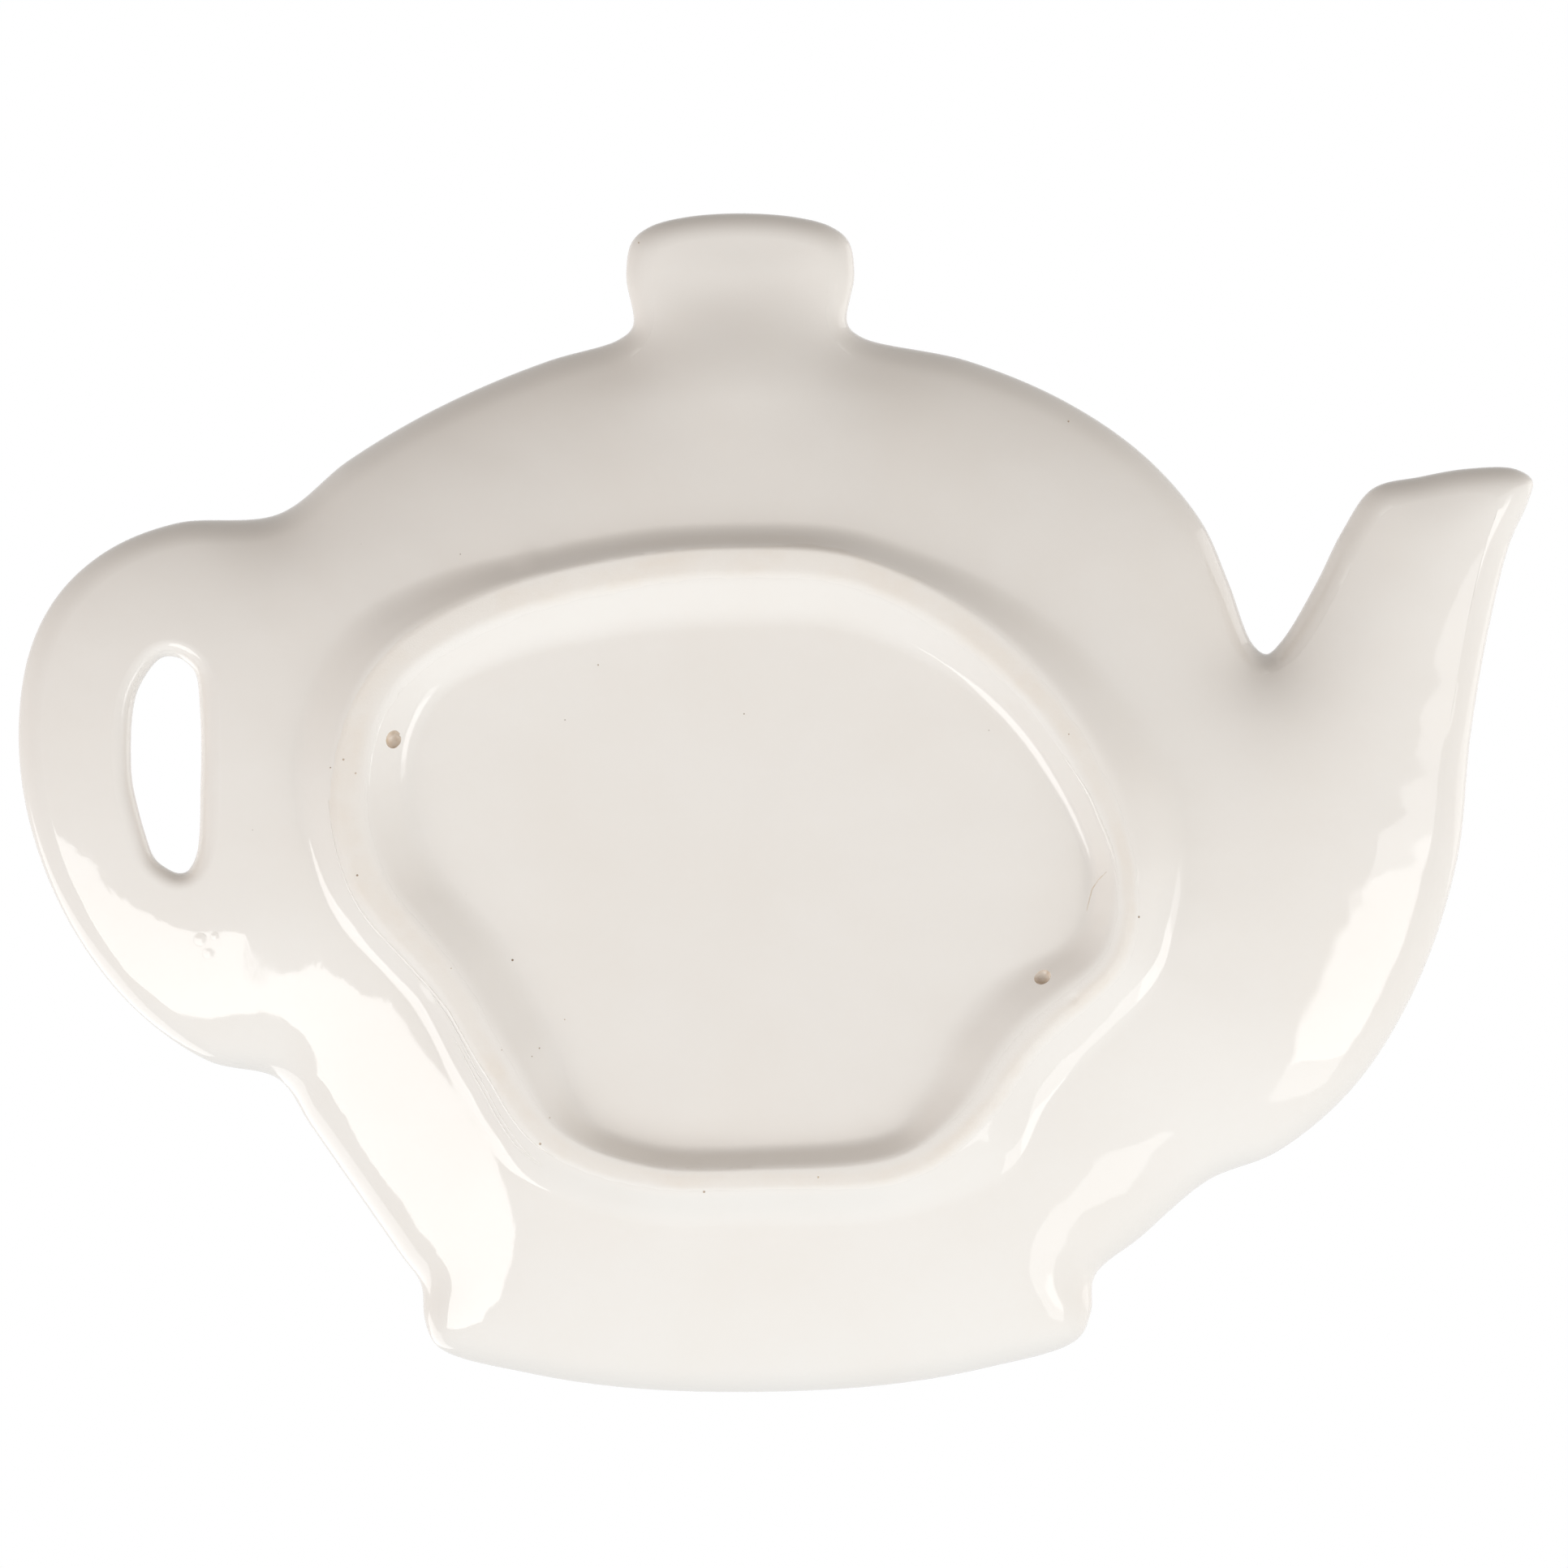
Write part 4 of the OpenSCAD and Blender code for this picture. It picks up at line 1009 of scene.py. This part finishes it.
# Lamps: the slope of the surface that mirrors each one to the camera, its distance and size in metres, its radiance,
# whether reflections show it, and its turn in degrees
LAMPS = {
    "softbox_handle": ((0.432, -0.318), 0.8, (0.485, 0.43), (4, 4, 4), True, 4),
    "softbox_spout": ((-0.435, -0.22), 0.8, (0.225, 0.60), (1.7, 1.7, 1.7), True, 0),
    "softbox_spout_core": ((-0.435, -0.19), 0.79, (0.20, 0.33), (2, 2, 2), True, 0),
    "fill_handle": ((0.6, 0), 1.2, (1.4, 1.4), (0.95, 0.93, 0.93), False, 0),
    "fill_spout": ((-0.6, -0.2), 1.2, (1.4, 1.4), (1.87, 1.90, 1.91), False, 0),
    "fill_base": ((0, -0.6), 1.2, (1.4, 1.4), (0.07, 0.25, 0.38), False, 0),
    "softbox_top_handle": ((1.5, -1.2), 0.8, (0.5, 0.5), (1.3, 1.3, 1.3), True, 0),
    "softbox_top_spout": ((-1.7, 0.3), 0.8, (0.5, 0.5), (0.7, 0.7, 0.7), True, 0)}
SKY_COLOUR, SKY_STRENGTH = (1, 0.93, 0.85, 1), 0.31
# Half the floor's width, how far it lies under the foot, and the camera's distance, in metres
FLOOR_HALF, FLOOR_GAP, CAMERA_DISTANCE = 3.0, 0.0002, 2.4


def area_lamp(name, slope, distance, size, radiance, mirror, turn):
    """A soft area lamp that faces the object and stands where a surface of the given slope mirrors it"""
    data = bpy.data.lights.new(name, "AREA")
    data.shape, data.size, data.size_y = "RECTANGLE", size[0], size[1]
    level = max(radiance)
    data.color = [v / level for v in radiance]
    data.energy = level * math.pi * size[0] * size[1]
    lamp = bpy.data.objects.new(name, data)
    back, way, small = mirrored(slope), math.radians(turn), 0.001
    right = unit(mirrored(np.add(slope, (small * math.cos(way), small * math.sin(way)))) - back)
    matrix = np.eye(4)
    matrix[:3, :3] = np.stack([right, np.cross(back, right), back], axis=1)
    matrix[:3, 3] = back * distance
    lamp.matrix_world = matrix.T.tolist()
    lamp.visible_camera = False
    lamp.visible_glossy = mirror
    bpy.context.scene.collection.objects.link(lamp)


def floor_material(finish):
    """Pale floor that is clear from below, and for what was seen through it from below"""
    material, tree = tree_of("floor")
    shader = add(tree, "ShaderNodeBsdfDiffuse")
    shader.inputs["Color"].default_value = finish.floor
    clear = add(tree, "ShaderNodeBsdfTransparent")
    light = add(tree, "ShaderNodeLightPath")
    from_below = add(tree, "ShaderNodeNewGeometry")
    either = add(tree, "ShaderNodeMath", operation="ADD", use_clamp=True)
    tree.links.new(light.outputs["Transparent Depth"], either.inputs[0])
    tree.links.new(from_below.outputs["Backfacing"], either.inputs[1])
    both = add(tree, "ShaderNodeMixShader")
    tree.links.new(either.outputs[0], both.inputs[0])
    tree.links.new(shader.outputs[0], both.inputs[1])
    tree.links.new(clear.outputs[0], both.inputs[2])
    output(tree, both)
    return material


def studio_world():
    """White to the camera and in reflections, and an even soft light on the object"""
    world = bpy.data.worlds.new("studio")
    bpy.context.scene.world = world
    world.use_nodes = True
    tree = world.node_tree
    tree.nodes.clear()
    light = add(tree, "ShaderNodeLightPath")
    seen = light.outputs["Is Camera Ray"]
    for name in ("Is Glossy Ray", "Is Transmission Ray"):
        either = add(tree, "ShaderNodeMath", operation="MAXIMUM")
        tree.links.new(seen, either.inputs[0])
        tree.links.new(light.outputs[name], either.inputs[1])
        seen = either.outputs[0]
    sky = add(tree, "ShaderNodeBackground", Color=SKY_COLOUR, Strength=SKY_STRENGTH)
    white = add(tree, "ShaderNodeBackground", Color=(1, 1, 1, 1), Strength=1)
    both = add(tree, "ShaderNodeMixShader")
    tree.links.new(seen, both.inputs[0])
    tree.links.new(sky.outputs[0], both.inputs[1])
    tree.links.new(white.outputs[0], both.inputs[2])
    tree.links.new(both.outputs[0], add(tree, "ShaderNodeOutputWorld").inputs["Surface"])


class REST_OT_stage(bpy.types.Operator):
    """Makes the floor, the lamps, the world and the camera, which looks at the underside"""
    bl_idname = "rest.stage"
    bl_label = "Stage"

    def execute(self, context):
        scene = context.scene
        scene.view_settings.view_transform = "Standard"
        studio_world()
        mesh = bpy.data.meshes.new("floor")
        corners = [(x * FLOOR_HALF, y * FLOOR_HALF, -FLOOR_GAP) for x, y in ((-1, -1), (1, -1), (1, 1), (-1, 1))]
        mesh.from_pydata(corners, [], [(0, 1, 2, 3)])
        mesh.materials.append(floor_material(scene.rest_finish))
        floor = bpy.data.objects.new("floor", mesh)
        scene.collection.objects.link(floor)
        for name, values in LAMPS.items():
            area_lamp(name, *values)
        data = bpy.data.cameras.new("camera")
        middle = (np.array(PHOTO_AXIS_PX) - PHOTO_PX / 2) * PX_MM * MM
        data.sensor_width = 36
        data.lens = data.sensor_width * CAMERA_DISTANCE / (PHOTO_PX * PX_MM * MM)
        camera = bpy.data.objects.new("camera", data)
        camera.location = (*middle, CAD_BOX[1][2] - CAMERA_DISTANCE)
        camera.rotation_euler = (0, math.pi, 0)
        scene.collection.objects.link(camera)
        scene.camera = camera
        return {"FINISHED"}


class REST_PT_panel(bpy.types.Panel):
    """Lists the pieces of the tea bag rest"""
    bl_idname = "REST_PT_panel"
    bl_label = "Tea bag rest"
    bl_space_type = "VIEW_3D"
    bl_region_type = "UI"
    bl_category = "Tea bag rest"

    def draw(self, context):
        for operator in OPERATORS:
            self.layout.operator(operator.bl_idname)


GROUPS = {"rest_outline": RestOutline, "rest_dish": RestDish, "rest_foot": RestFoot, "rest_finish": RestFinish}
OPERATORS = (REST_OT_glazed_dish, REST_OT_dry_foot, REST_OT_slip_marks, REST_OT_specks, REST_OT_stage)
CLASSES = (*GROUPS.values(), *OPERATORS, REST_PT_panel)


def register():
    """Registers the classes and hangs the sizes on the scene"""
    for item in CLASSES:
        bpy.utils.register_class(item)
    for name, group in GROUPS.items():
        setattr(bpy.types.Scene, name, PointerProperty(type=group))


def unregister():
    """Takes the sizes and the classes away again"""
    for name in GROUPS:
        delattr(bpy.types.Scene, name)
    for item in reversed(CLASSES):
        bpy.utils.unregister_class(item)


def main():
    """Makes every piece and the stage"""
    register()
    bpy.ops.rest.glazed_dish()
    bpy.ops.rest.dry_foot()
    bpy.ops.rest.slip_marks()
    bpy.ops.rest.specks()
    bpy.ops.rest.stage()


if __name__ == "__main__":
    main()
